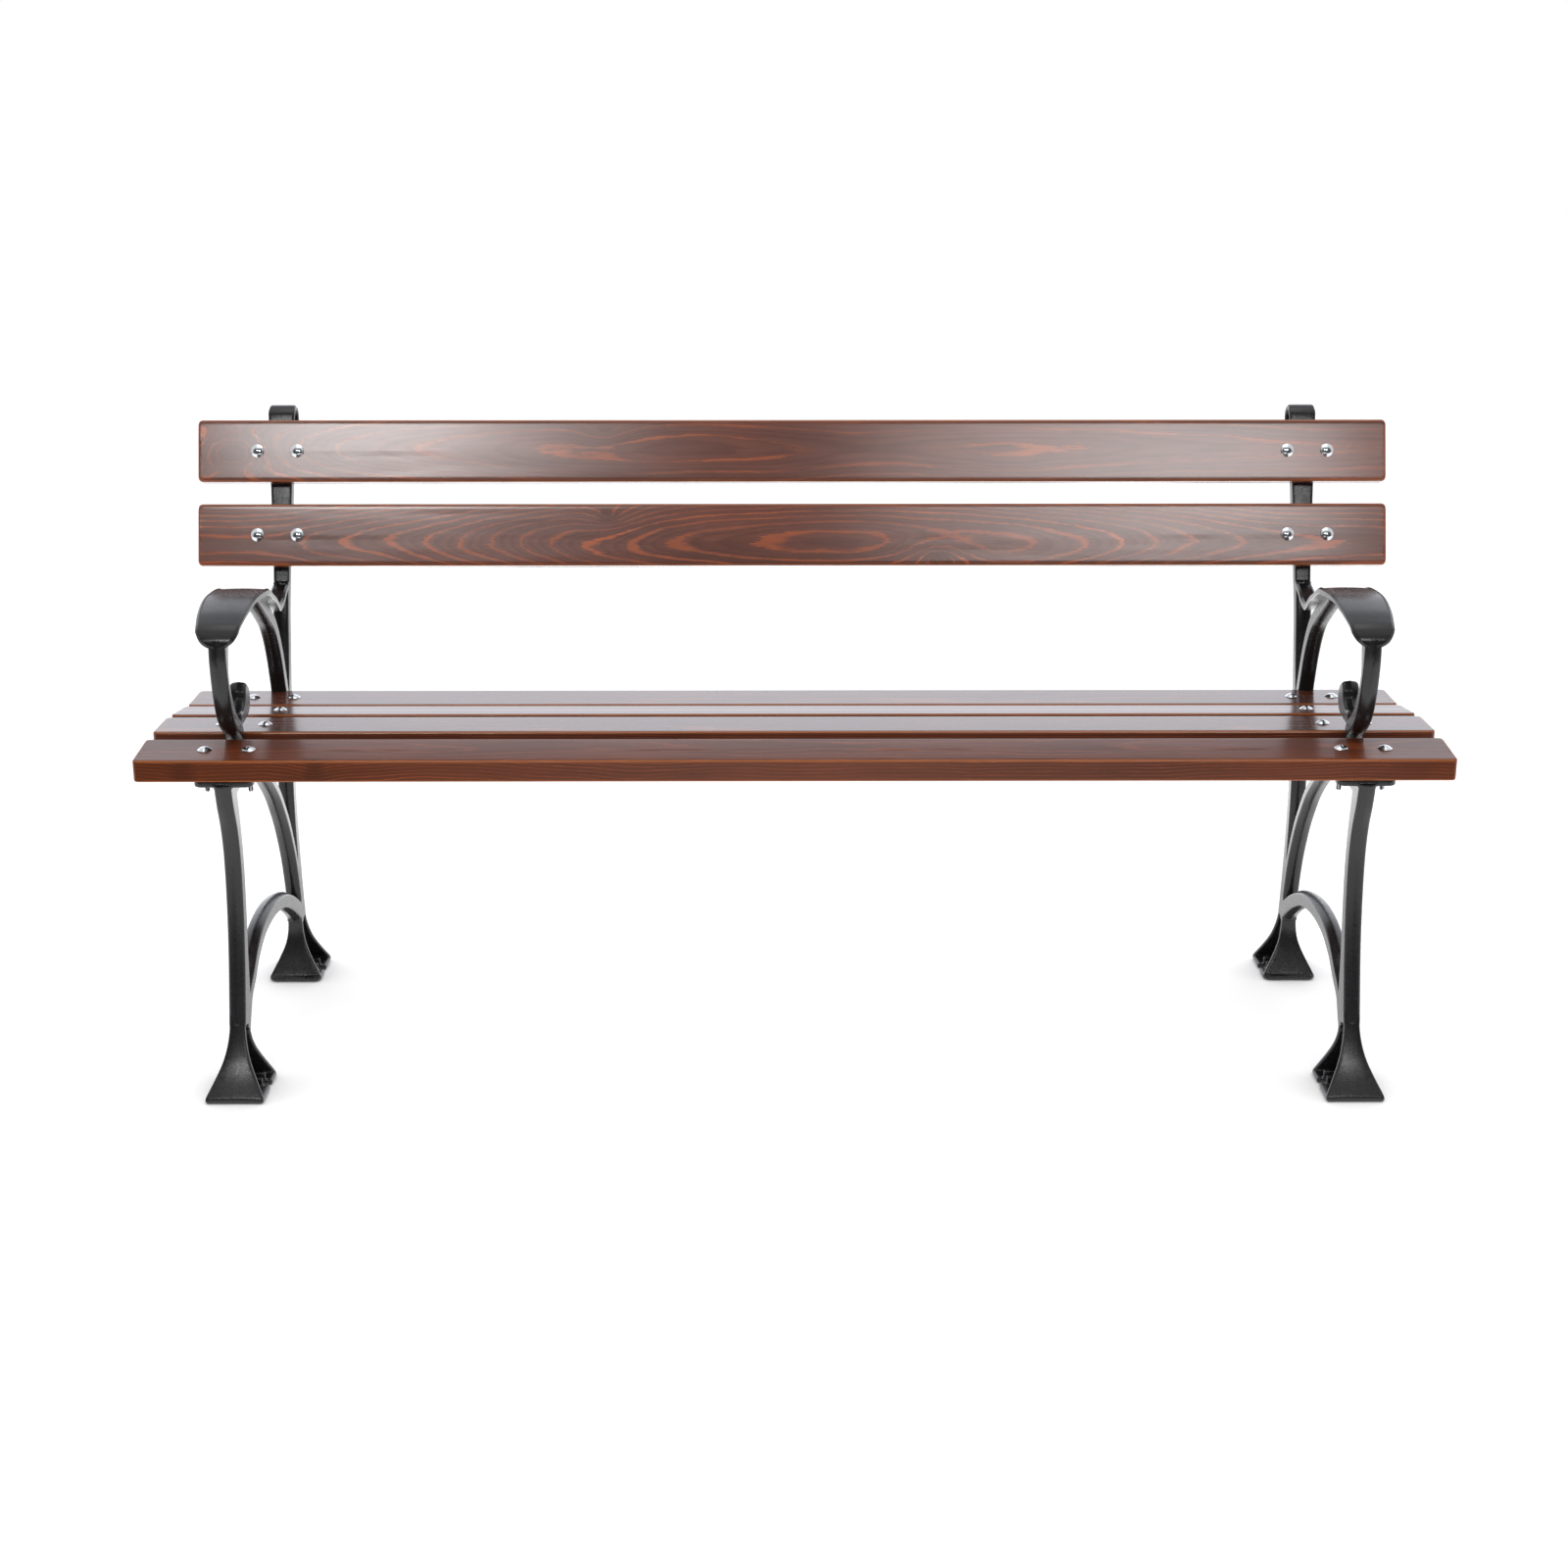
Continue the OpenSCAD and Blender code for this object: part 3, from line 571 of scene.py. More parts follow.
def baked(obj, name):
    """Plain mesh of an object with its modifiers, as a new object; the old one is removed."""
    graph = bpy.context.evaluated_depsgraph_get()
    graph.update()
    mesh = bpy.data.meshes.new_from_object(
        obj.evaluated_get(graph), preserve_all_data_layers=True, depsgraph=graph
    )
    old = obj.data
    bpy.data.objects.remove(obj)
    bpy.data.meshes.remove(old)
    mesh.name = name
    return to_object(name, mesh)


def smooth(mesh):
    """Shades every face smooth."""
    for p in mesh.polygons:
        p.use_smooth = True


def fit(piece, replaced):
    """Makes a piece ride on the bench's body in place of one of the model's nodes."""
    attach(piece, BODY)
    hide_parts(replaced)


def to_metres(bm):
    """Turns a casting's parts to metres, with their faces turned outwards."""
    bmesh.ops.recalc_face_normals(bm, faces=bm.faces)
    for v in bm.verts:
        v.co = Vector((v.co.x, v.co.y - MIDDLE_Y, v.co.z)) * MM


def cast_in_one(settings):
    """Fuses the parts of a side frame into one skin with small fillets, then adds the crisp arm rest."""
    bm = bmesh.new()
    casting_parts(bm)
    to_metres(bm)
    obj = to_object("casting_parts", mesh_of(bm, "casting_parts"))
    fuse = obj.modifiers.new("Fuse", "REMESH")
    fuse.mode = "VOXEL"
    fuse.voxel_size = settings.skin_step
    fuse.use_smooth_shade = True
    soften = obj.modifiers.new("Soften", "SMOOTH")
    soften.factor = 0.5
    soften.iterations = settings.soften_steps
    thin = obj.modifiers.new("Thin", "DECIMATE")
    thin.ratio = settings.keep_share
    obj = baked(obj, "casting")

    bm = bmesh.new()
    arm_rest(bm)
    to_metres(bm)
    for edge in bm.edges:
        edge.smooth = edge.calc_face_angle(0) < math.radians(18)
    arm = mesh_of(bm, "arm")
    whole = bmesh.new()
    whole.from_mesh(obj.data)
    whole.from_mesh(arm)
    whole.to_mesh(obj.data)
    whole.free()
    bpy.data.meshes.remove(arm)
    return obj


# Nodes


class Wire:
    """An output of a node. Sums with wires are written as sums and become Math nodes."""

    def __init__(self, graph, socket):
        self.graph = graph
        self.socket = socket

    def do(self, operation, *values):
        """A Math node with this wire as its first value."""
        return self.graph.out("ShaderNodeMath", dict(enumerate((self, *values))), operation=operation)

    def step(self, low, high):
        """Rises smoothly from 0 at low to 1 at high."""
        ends = {"Value": self, "From Min": low, "From Max": high}
        return self.graph.out("ShaderNodeMapRange", ends, "Result", interpolation_type="SMOOTHSTEP")

    def least(self, other):
        return self.do("MINIMUM", other)

    def most(self, other):
        return self.do("MAXIMUM", other)

    def __add__(self, other):
        return self.do("ADD", other)

    def __mul__(self, other):
        return self.do("MULTIPLY", other)

    def __sub__(self, other):
        return self.do("SUBTRACT", other)

    def __rsub__(self, other):
        return self.graph.out("ShaderNodeMath", {0: other, 1: self}, operation="SUBTRACT")

    def __truediv__(self, other):
        return self.do("DIVIDE", other)


class Graph:
    """A node tree to which nodes are added."""

    def __init__(self, tree):
        self.tree = tree

    def feed(self, node, inputs):
        """Links or sets a node's inputs by name or place."""
        for key, value in inputs.items():
            socket = node.inputs[key]
            if isinstance(value, Wire):
                self.tree.links.new(value.socket, socket)
            elif socket.type == "RGBA":
                socket.default_value = (*value[:3], 1)
            else:
                socket.default_value = value

    def add(self, kind, inputs=None, **settings):
        """Adds a node with its settings and inputs."""
        node = self.tree.nodes.new(kind)
        count = len(self.tree.nodes)
        node.location = (220 * (count % 12), -260 * (count // 12))
        for key, value in settings.items():
            setattr(node, key, value)
        self.feed(node, inputs or {})
        return node

    def out(self, kind, inputs=None, output=0, **settings):
        """Adds a node and gives one of its outputs."""
        return Wire(self, self.add(kind, inputs, **settings).outputs[output])

    def given(self):
        """The inputs of a node group, by name."""
        sockets = self.add("NodeGroupInput").outputs
        return {socket.name: Wire(self, socket) for socket in sockets}

    def parts(self, vector):
        """X, Y and Z of a vector."""
        return [Wire(self, socket) for socket in self.add("ShaderNodeSeparateXYZ", {0: vector}).outputs]

    def vector(self, x=0.0, y=0.0, z=0.0):
        return self.out("ShaderNodeCombineXYZ", {0: x, 1: y, 2: z})

    def mix(self, factor, a, b):
        """A colour between a and b."""
        return self.out("ShaderNodeMix", {0: factor, 6: a, 7: b}, 2, data_type="RGBA")

    def choose(self, factor, a, b):
        """A number between a and b."""
        return self.out("ShaderNodeMix", {0: factor, 2: a, 3: b}, data_type="FLOAT")

    def noise(self, vector, scale, detail, roughness=0.5):
        pattern = {"Vector": vector, "Scale": scale, "Detail": detail, "Roughness": roughness}
        return self.out("ShaderNodeTexNoise", pattern)

    def bump(self, height, strength, distance):
        relief = {"Height": height, "Strength": strength, "Distance": distance}
        return self.out("ShaderNodeBump", relief, "Normal")


def new_material(name):
    """A material with the graph of its nodes and its shader."""
    material = bpy.data.materials.new(name)
    material.use_nodes = True
    material.node_tree.nodes.clear()
    graph = Graph(material.node_tree)
    shader = graph.add("ShaderNodeBsdfPrincipled")
    graph.add("ShaderNodeOutputMaterial", {"Surface": Wire(graph, shader.outputs["BSDF"])})
    return material, graph, shader


def times(colour, factor):
    """A lighter or darker copy of a colour."""
    return [c * factor for c in colour[:3]]


# Materials


def black_paint(settings):
    """Satin black paint over rough cast iron."""
    material, graph, shader = new_material("black_paint_on_iron")
    place = graph.out("ShaderNodeTexCoord", output="Object")
    broad = graph.noise(place, 14, 3)
    sand = graph.noise(place, 560, 4, 0.62)
    peel = graph.noise(place, 150, 3, 0.55)
    cells = {"Vector": place, "Scale": 240, "Randomness": 1.0}
    pits = graph.out("ShaderNodeTexVoronoi", cells, "Distance", feature="F1")
    edge = graph.out("ShaderNodeNewGeometry", output="Pointiness").step(0.53, 0.62)
    paint = graph.mix(broad, times(settings.paint_colour, 0.75), times(settings.paint_colour, 1.35))
    height = sand * 0.5 + peel * 0.8 + pits.step(0.0, 0.35) * 0.25
    graph.feed(shader, {
        "Base Color": graph.mix(edge * (peel * 0.5), paint, settings.worn_colour),
        "Roughness": peel * 0.12 + (settings.paint_roughness - 0.09) + sand * 0.06,
        "Normal": graph.bump(height, 0.3, 0.0003),
        "Specular IOR Level": 0.5,
    })
    return material


def bright_zinc(settings):
    """Bright zinc plating, faintly clouded."""
    material, graph, shader = new_material("bright_zinc")
    place = graph.out("ShaderNodeTexCoord", output="Object")
    cloud = graph.noise(place, 300, 3)
    red, green, blue = settings.zinc_colour
    graph.feed(shader, {
        "Base Color": graph.mix(cloud, (red * 0.82, green * 0.84, blue * 0.88), (red, green, blue)),
        "Roughness": cloud * 0.16 + 0.1,
        "Metallic": 1.0,
        "Normal": graph.bump(graph.noise(place, 2400, 2), 0.12, 0.0001),
    })
    return material


def knot_group():
    """Swell of the rings round a knot, and the knot's own core."""
    tree = bpy.data.node_groups.new("pine_knot", "ShaderNodeTree")
    face = tree.interface
    face.new_socket("Vector", in_out="INPUT", socket_type="NodeSocketVector")
    for name, start in (("Along", 0.0), ("Across", 0.0), ("Size", 0.01), ("Swell", 3.0)):
        face.new_socket(name, in_out="INPUT", socket_type="NodeSocketFloat").default_value = start
    for name in ("Rings", "Core"):
        face.new_socket(name, in_out="OUTPUT", socket_type="NodeSocketFloat")
    graph = Graph(tree)
    given = graph.given()
    u, v, _ = graph.parts(given["Vector"])
    flat = graph.vector((u - given["Along"]) * 0.55, v - given["Across"])
    ragged = graph.noise(given["Vector"], 90, 3)
    away = graph.out("ShaderNodeVectorMath", {0: flat}, "Value", operation="LENGTH") / given["Size"]
    away = away + (ragged - 0.5) * 0.5
    swell = (away * -0.55).do("EXPONENT") * given["Swell"]
    graph.add("NodeGroupOutput", {"Rings": swell, "Core": away.step(1.25, 0.55)})
    return tree


def stained_pine(name, seat, look, settings, knots_tree):
    """Stained pine for one slat. Rings lie round a pith under the board and drift along it."""
    material, graph, shader = new_material(name)
    on_board = {
        "Vector": graph.out("ShaderNodeTexCoord", output="Object"),
        "Location": in_place(seat),
        "Rotation": (math.radians(seat[2]), 0, 0),
    }
    spot = graph.out("ShaderNodeMapping", on_board, vector_type="TEXTURE")
    u, v, w = graph.parts(spot)
    half_u, half_v, half_w = (size * MM / 2 for size in (SLAT_LENGTH, SLAT_WIDTH, SLAT_THICKNESS))

    def grain(along, across, part, detail, roughness=0.5):
        """Noise of the board's own, drawn out along it."""
        drawn = {"Vector": spot, "Location": (look["seed"], part, 0), "Scale": (along, across, across)}
        return graph.noise(graph.out("ShaderNodeMapping", drawn), 1.0, detail, roughness)

    # Rings at the board's middle line, by place along it, drawn as a few points.
    drift = graph.add("ShaderNodeFloatCurve", {"Value": u / (SLAT_LENGTH * MM) + 0.5})
    points = drift.mapping.curves[0].points
    tallest = max(n for _, n in look["drift"])
    for i, (x, n) in enumerate(look["drift"]):
        if i < 2:
            points[i].location = (x, n / tallest)
        else:
            points.new(x, n / tallest)
    drift.mapping.update()
    at_axis = Wire(graph, drift.outputs["Value"]) * tallest

    side = v + (grain(4, 4, 0, 2) - 0.5) * look["sway"] - look["axis"]
    height = w + (look["pith"] - SLAT_THICKNESS * MM)
    rings = (side * side + height * height).do("SQRT") / look["spacing"] + at_axis
    core = None
    for along, across, size, swell in look["knots"]:
        values = {"Vector": spot, "Along": along, "Across": across, "Size": size, "Swell": swell}
        knot = graph.add("ShaderNodeGroup", values, node_tree=knots_tree)
        rings = rings + Wire(graph, knot.outputs["Rings"])
        here = Wire(graph, knot.outputs["Core"])
        core = core.most(here) if core else here
    rings = rings + (grain(9, 38, 1, 3) - 0.5) * look["wave"]
    rings = rings + (grain(45, 480, 2, 4, 0.65) - 0.5) * look["jag"]

    # Late wood at the end of each ring, and finer lines between.
    by_ring = {"W": rings.do("FLOOR")}
    weight = graph.out("ShaderNodeTexWhiteNoise", by_ring, "Value", noise_dimensions="1D") * 0.6 + 0.4
    ring = rings.do("FRACT")
    start = (grain(9, 60, 7, 2) - 0.5) * 0.5 + look.get("band", 0.74)
    late = ring.step(start, start + 0.16) * ring.step(1.0, 0.965) * weight
    fine = (rings * 3.0).do("FRACT")
    fine = fine.step(0.3, 0.85) * fine.step(1.0, 0.92)

    fibre = grain(16, 900, 3, 4, 0.7)
    pore = grain(60, 2600, 4, 2, 0.6)
    streak = (fibre * 0.55 + pore * 0.25).step(0.2, 0.62)
    early = look.get("early", settings.stain_colour)
    tint = graph.mix(grain(5, 16, 5, 3).step(0.3, 0.7), times(early, 0.8), times(early, 1.25))
    tint = graph.mix(grain(5, 230, 6, 3, 0.6).step(0.4, 0.68) * 0.3, tint, times(early, 0.55))
    tint = graph.mix(fine * look.get("fine", 0.38), tint, times(early, 0.45))
    tint = graph.mix(late * look["contrast"], tint, settings.ring_colour)
    tint = graph.mix(0.3 - streak * 0.3, tint, times(early, 0.5))
    if core:
        tint = graph.mix(core * 0.6, tint, times(early, 0.5))

    # Painted highlight: a lighter orange colour along the rounded edges, where they catch the light.
    from_side = half_v - v.do("ABSOLUTE")
    from_face = half_w - (w - half_w).do("ABSOLUTE")
    from_end = half_u - u.do("ABSOLUTE")
    near = from_side.most(from_face).least(from_end.most(from_side.least(from_face)))
    painted_edge_highlight = (near + (fibre - 0.5) * 0.002).step(0.0034, 0.0008)

    coat = look.get("coat", 1.0)
    if "thin_varnish" in look:
        # The varnish is thinner on the front face towards the slat's ends.
        left, right = look["thin_varnish"]
        front = v.step(-half_v + 0.0015, -half_v + 0.0003)
        coat = (1.0 - front * (1.0 - u.step(*left) * u.step(*right))) * coat
    graph.feed(shader, {
        "Base Color": graph.mix(painted_edge_highlight * 0.75, tint, settings.edge_highlight_colour),
        "Roughness": streak * 0.14 + 0.42,
        "Normal": graph.bump(late * 0.6 + fibre * 0.7 + pore * 0.25, 0.22, 0.0002),
        "Coat Weight": coat,
        "Coat Roughness": settings.varnish_roughness,
        "Coat Normal": graph.bump(fibre, 0.08, 0.00015),
        "Specular IOR Level": 0.1,
    })
    return material


# Grain of each slat: drift is (share of the length, rings at the middle line), knots are
# (along, across, size, swell), and lengths are in metres.
FLAT_BOARD = dict(early=(0.085, 0.025, 0.013), sway=0.03, wave=0.8, jag=0.2, contrast=0.3)
GRAIN = {
    "seat_front": dict(
        seed=3.1, axis=0.012, pith=0.085, spacing=0.0034, sway=0.03, wave=1.6, jag=0.5, contrast=0.34,
        early=(0.114, 0.0265, 0.008), coat=0.45, fine=0.2, thin_varnish=((-0.85, -0.05), (0.85, 0.6)),
        drift=[(0, 2.0), (0.2, 2.6), (0.45, 4.2), (0.6, 4.6), (0.8, 3.4), (1, 2.4)],
        knots=[(-0.545, -0.034, 0.008, 2.6), (-0.694, -0.046, 0.011, 1.6)],
    ),
    "seat_second": dict(
        **FLAT_BOARD, seed=7.4, axis=-0.03, pith=0.12, spacing=0.0028,
        drift=[(0, 1.0), (0.3, 2.0), (0.6, 3.4), (1, 2.2)],
        knots=[],
    ),
    "seat_third": dict(
        **FLAT_BOARD, seed=11.9, axis=0.05, pith=0.09, spacing=0.003,
        drift=[(0, 2.0), (0.4, 3.4), (0.7, 3.0), (1, 1.0)],
        knots=[],
    ),
    "seat_rear": dict(
        **FLAT_BOARD, seed=15.2, axis=-0.02, pith=0.1, spacing=0.003,
        drift=[(0, 1.0), (0.5, 2.4), (1, 1.4)],
        knots=[(0.31, 0.012, 0.008, 3.0)],
    ),
    "back_lower": dict(
        seed=21.3, axis=-0.01, pith=0.066, spacing=0.003, sway=0.014, wave=0.6, jag=0.42, contrast=0.9,
        drift=[
            (0, 12.6), (0.06, 12.5), (0.1, 11.5), (0.16, 9.9), (0.2, 8.6), (0.25, 6.7), (0.29, 5.0),
            (0.33, 3.4), (0.45, 1.1), (0.545, 0.45), (0.63, 0.7), (0.675, 1.2), (0.72, 2.2), (0.78, 4.0),
            (0.85, 6.2), (0.92, 7.6), (1, 8.2),
        ],
        knots=[(-0.232, 0.024, 0.009, 4.0), (0.186, -0.03, 0.01, 5.0)],
    ),
    "back_upper": dict(
        seed=27.7, axis=0.002, pith=0.0455, spacing=0.0065, sway=0.012, wave=0.25, jag=0.3, contrast=0.75,
        band=0.82,
        drift=[
            (0, 6.6), (0.08, 6.2), (0.13, 5.5), (0.175, 5.0), (0.22, 4.6), (0.282, 4.0), (0.33, 3.7),
            (0.4, 3.5), (0.46, 3.65), (0.513, 4.0), (0.57, 4.3), (0.63, 4.0), (0.65, 3.93), (0.69, 3.86),
            (0.72, 3.93), (0.745, 4.0), (0.8, 4.35), (0.86, 4.6), (0.93, 4.85), (1, 5.0),
        ],
        knots=[(-0.707, -0.002, 0.012, 7.0), (-0.237, 0.028, 0.006, 2.5)],
    ),
}


# Geometry trees

# Lengths of the two trees, in metres.
SLAT_LENGTHS = {
    "Length": SLAT_LENGTH * MM,
    "Width": SLAT_WIDTH * MM,
    "Thickness": SLAT_THICKNESS * MM,
    "Edge Radius": 0.003,
    "Corner Radius": 0.006,
    "End Radius": 0.002,
    "Unevenness": 0.0002,
}
FASTENER_LENGTHS = {"Frame Spacing": FRAME_SPACING * MM, "Bolt Pitch": BOLT_PITCH * MM, "Height": 0.0}


def piece_tree(name, lengths, seed, geometry=()):
    """A geometry tree with named inputs: its lengths, its seed, and the seat and material of the piece."""
    tree = bpy.data.node_groups.new(name, "GeometryNodeTree")
    tree.is_modifier = True
    for title, kind, subtype in (
        *geometry,
        *[(title, "Float", "DISTANCE") for title in lengths],
        ("Seed", seed, None),
        ("Seat", "Vector", "TRANSLATION"),
        ("Tilt", "Float", "ANGLE"),
        ("Material", "Material", None),
    ):
        socket = tree.interface.new_socket(title, in_out="INPUT", socket_type="NodeSocket" + kind)
        if subtype:
            socket.subtype = subtype
        if title in lengths:
            socket.default_value = lengths[title]
    tree.interface.new_socket("Geometry", in_out="OUTPUT", socket_type="NodeSocketGeometry")
    return Graph(tree)


def place_and_finish(graph, geometry, given):
    """Turns and moves the geometry to a slat's seat, then realizes it and gives it its material."""
    place = {"Geometry": geometry, "Translation": given["Seat"], "Rotation": graph.vector(given["Tilt"])}
    moved = graph.out("GeometryNodeTransform", place)
    real = graph.out("GeometryNodeRealizeInstances", {"Geometry": moved})
    shaded = graph.out("GeometryNodeSetMaterial", {"Geometry": real, "Material": given["Material"]})
    graph.add("NodeGroupOutput", {0: shaded})
    return graph.tree


def slat_tree():
    """A board with rounded edges and corners, closely ringed at its ends, a little uneven."""
    graph = piece_tree("bench_slat", SLAT_LENGTHS, "Float")
    given = graph.given()
    end = {"Width": given["Width"], "Height": given["Thickness"]}
    section = graph.out("GeometryNodeCurvePrimitiveQuadrilateral", end)
    section = graph.out("GeometryNodeSubdivideCurve", {"Curve": section, "Cuts": 11})
    rounding = {"Curve": section, "Count": 5, "Radius": given["Edge Radius"]}
    section = graph.out("GeometryNodeFilletCurve", rounding, mode="POLY")
    # Rings stand closer together towards the ends.
    spaces = 200
    line = graph.out("GeometryNodeMeshLine", {"Count": spaces + 1, "Offset": (0, 0, 0)})
    turn = (graph.out("GeometryNodeInputIndex") / (spaces / 2) - 1.0) * (math.pi / 2)
    half = given["Length"] / 2.0
    along = graph.vector(turn.do("SINE") * half)
    line = graph.out("GeometryNodeSetPosition", {"Geometry": line, "Position": along})
    path = graph.out("GeometryNodeMeshToCurve", {"Mesh": line})
    swept = {"Curve": path, "Profile Curve": section, "Fill Caps": True}
    board = graph.out("GeometryNodeCurveToMesh", swept)

    place = graph.out("GeometryNodeInputPosition")
    x, y, z = graph.parts(place)
    from_end = (half - x.do("ABSOLUTE")).most(0.0)

    def drawn_in(radius, across, size):
        """Scales a coordinate so that the edge is drawn in along a quarter circle at the ends."""
        short = (radius - from_end).most(0.0)
        inset = radius - (radius * radius - short * short).most(0.0).do("SQRT")
        return across * (1.0 - inset / (size / 2.0))

    y = drawn_in(given["Corner Radius"], y, given["Width"])
    z = drawn_in(given["End Radius"], z, given["Thickness"])
    board = graph.out("GeometryNodeSetPosition", {"Geometry": board, "Position": graph.vector(x, y, z)})
    drawn = graph.out("ShaderNodeVectorMath", {0: place, 1: (7.0, 60.0, 60.0)}, operation="MULTIPLY")
    pattern = {"Vector": drawn, "W": given["Seed"], "Scale": 1.0, "Detail": 2.0}
    rough = graph.out("ShaderNodeTexNoise", pattern, noise_dimensions="4D")
    swell = {0: graph.out("GeometryNodeInputNormal"), "Scale": (rough - 0.62) * given["Unevenness"]}
    push = graph.out("ShaderNodeVectorMath", swell, operation="SCALE")
    board = graph.out("GeometryNodeSetPosition", {"Geometry": board, "Offset": push})
    lift = graph.vector(z=given["Thickness"] / 2.0)
    board = graph.out("GeometryNodeTransform", {"Geometry": board, "Translation": lift})
    return place_and_finish(graph, board, given)


def fastener_tree():
    """Puts a copy of the incoming fastener at each of a slat's four bolts, each turned its own way."""
    graph = piece_tree("bench_fasteners", FASTENER_LENGTHS, "Int", [("Geometry", "Geometry", None)])
    given = graph.given()
    index = graph.out("GeometryNodeInputIndex")
    far = (index / 2.0).do("FLOOR")
    near = index.do("MODULO", 2.0)
    x = (far - 0.5) * given["Frame Spacing"] + (near - 0.5) * given["Bolt Pitch"]
    place = graph.vector(x, z=given["Height"])
    spots = graph.out("GeometryNodePoints", {"Count": 4, "Position": place})
    span = {"Min": 0.0, "Max": 2 * math.pi, "Seed": given["Seed"]}
    turn = graph.add("FunctionNodeRandomValue", span, data_type="FLOAT")
    spin = graph.vector(z=Wire(graph, next(socket for socket in turn.outputs if socket.enabled)))
    copies = {"Points": spots, "Instance": given["Geometry"], "Rotation": spin}
    return place_and_finish(graph, graph.out("GeometryNodeInstanceOnPoints", copies), given)


def grown(name, mesh, tree, seat, values, degrees):
    """Piece that a geometry tree makes from a mesh at a seat, with hard edges past an angle."""
    obj = to_object(f"{name}_seed", mesh)
    made = obj.modifiers.new("Looks", "NODES")
    made.node_group = tree
    values = {**values, "Seat": in_place(seat), "Tilt": math.radians(seat[2])}
    for item in tree.interface.items_tree:
        if item.item_type == "SOCKET" and item.in_out == "INPUT" and item.name in values:
            made[item.identifier] = values[item.name]
    piece = baked(obj, name)
    smooth(piece.data)
    piece.data.set_sharp_from_angle(angle=math.radians(degrees))
    return piece


# Fasteners


def turned(profile, count=40, reach=None):
    """Rings of a profile of (radius, height) turned about Z; reach changes the radius by angle."""
    rings = []
    for r, z in profile:
        ring = []
        for i in range(count):
            a = 2 * math.pi * i / count
            k = reach(a, r, z) if reach else r
            ring.append((k * math.cos(a), k * math.sin(a), z))
        rings.append(ring)
    return rings


def finish_blank(name, bm):
    """Mesh of a fastener in metres."""
    bmesh.ops.remove_doubles(bm, verts=bm.verts, dist=0.0005)
    bmesh.ops.recalc_face_normals(bm, faces=bm.faces)
    for v in bm.verts:
        v.co *= MM
    return mesh_of(bm, name)


def bolt_blank():
    """A carriage bolt: domed head, square neck and a threaded shank, its head resting at Z = 0."""
    bm = bmesh.new()
    head, rise, rim = 8.25, 4.0, 0.45
    dome = (head * head + rise * rise) / (2 * rise)
    profile = [(0.05, 0), (head - 0.6, 0), (head - 0.15, 0.12), (head, rim)]
    for i in range(1, 11):
        z = rim + (rise - rim) * math.sin(math.radians(9 * i))
        r = math.sqrt(max(dome**2 - (z - rise + dome) ** 2, 0.0))
        profile.append((max(min(r, head), 0.05), z))
    skin(bm, turned(profile))

    def square(a, r, z):
        """A square with rounded corners."""
        return min(r / max(abs(math.cos(a)), abs(math.sin(a))), r * 1.32)

    skin(bm, turned([(3.25, -4), (3.25, 0.2)], 40, square))
    skin(bm, turned([(2.9, -28), (2.9, -3.5)], 24))

    end, pitch, steps, turns = -50, 1.0, 4, 22

    def thread(a, r, z):
        """Climbs round the shank once per pitch, and fades in at the shank's end."""
        edge = min(1.0, (z - end) / 1.2)
        phase = (z / pitch - a / (2 * math.pi)) % 1.0
        return r + 0.5 * edge * (1 - abs(2 * phase - 1))

    skin(bm, turned([(2.55, end + j * pitch / steps) for j in range(turns * steps + 1)], 24, thread))
    return finish_blank("bolt_blank", bm)


def nut_blank():
    """A hexagon nut with chamfered corners and a bore, its base at Z = 0."""
    bm = bmesh.new()
    flat = 5.0
    corner = flat / math.cos(math.pi / 6)

    def hexagon(a, r, z):
        """A hexagon where it is smaller than the circle."""
        return min(flat / math.cos((a + math.pi / 6) % (math.pi / 3) - math.pi / 6), r)

    profile = [(3.2, 0), (4.7, 0), (corner, 0.75), (corner, NUT - 0.75), (4.7, NUT), (3.2, NUT)]
    profile += [(2.95, NUT - 0.4), (2.95, 0.4)]
    rings = turned(profile, 48, hexagon)
    skin(bm, [*rings, rings[0]], close_ends=False)
    return finish_blank("nut_blank", bm)


def washer_blank():
    """A flat punched washer with soft edges, its base at Z = 0."""
    bm = bmesh.new()
    profile = [(3.2, 0.15), (3.4, 0), (6.0, 0), (6.25, 0.25), (6.25, WASHER - 0.3), (5.95, WASHER)]
    profile += [(3.5, WASHER), (3.2, WASHER - 0.25)]
    rings = turned(profile, 48)
    skin(bm, [*rings, rings[0]], close_ends=False)
    return finish_blank("washer_blank", bm)


def fasteners(settings, kind, blank, height, seed, degrees):
    """One piece for each slat: four fasteners in place of the model's."""
    tree = bpy.data.node_groups.get("bench_fasteners") or fastener_tree()
    zinc = bpy.data.materials.get("bright_zinc") or bright_zinc(settings)
    for i, (where, seat) in enumerate(SEATS.items()):
        values = {**FASTENER_LENGTHS, "Height": height * MM, "Seed": seed + i, "Material": zinc}
        piece = grown(f"{where}_zinc_{kind}", blank.copy(), tree, seat, values, degrees)
        fit(piece, f"{where}_{kind}")


# Settings


def a_length(name, description, default, low, high):
    return bpy.props.FloatProperty(
        name=name, description=description, default=default, min=low, max=high, unit="LENGTH", precision=4
    )


def a_share(name, description, default, low):
    return bpy.props.FloatProperty(
        name=name, description=description, default=default, min=low, max=1.0, subtype="FACTOR"
    )


def a_level(name, description, default, high):
    return bpy.props.FloatProperty(
        name=name, description=description, default=default, min=0, max=high, subtype="UNSIGNED"
    )


def a_number(name, description, default, high):
    return bpy.props.IntProperty(name=name, description=description, default=default, min=0, max=high)


def a_colour(name, description, default):
    return bpy.props.FloatVectorProperty(
        name=name, description=description, default=default, size=3, subtype="COLOR", min=0, max=1
    )


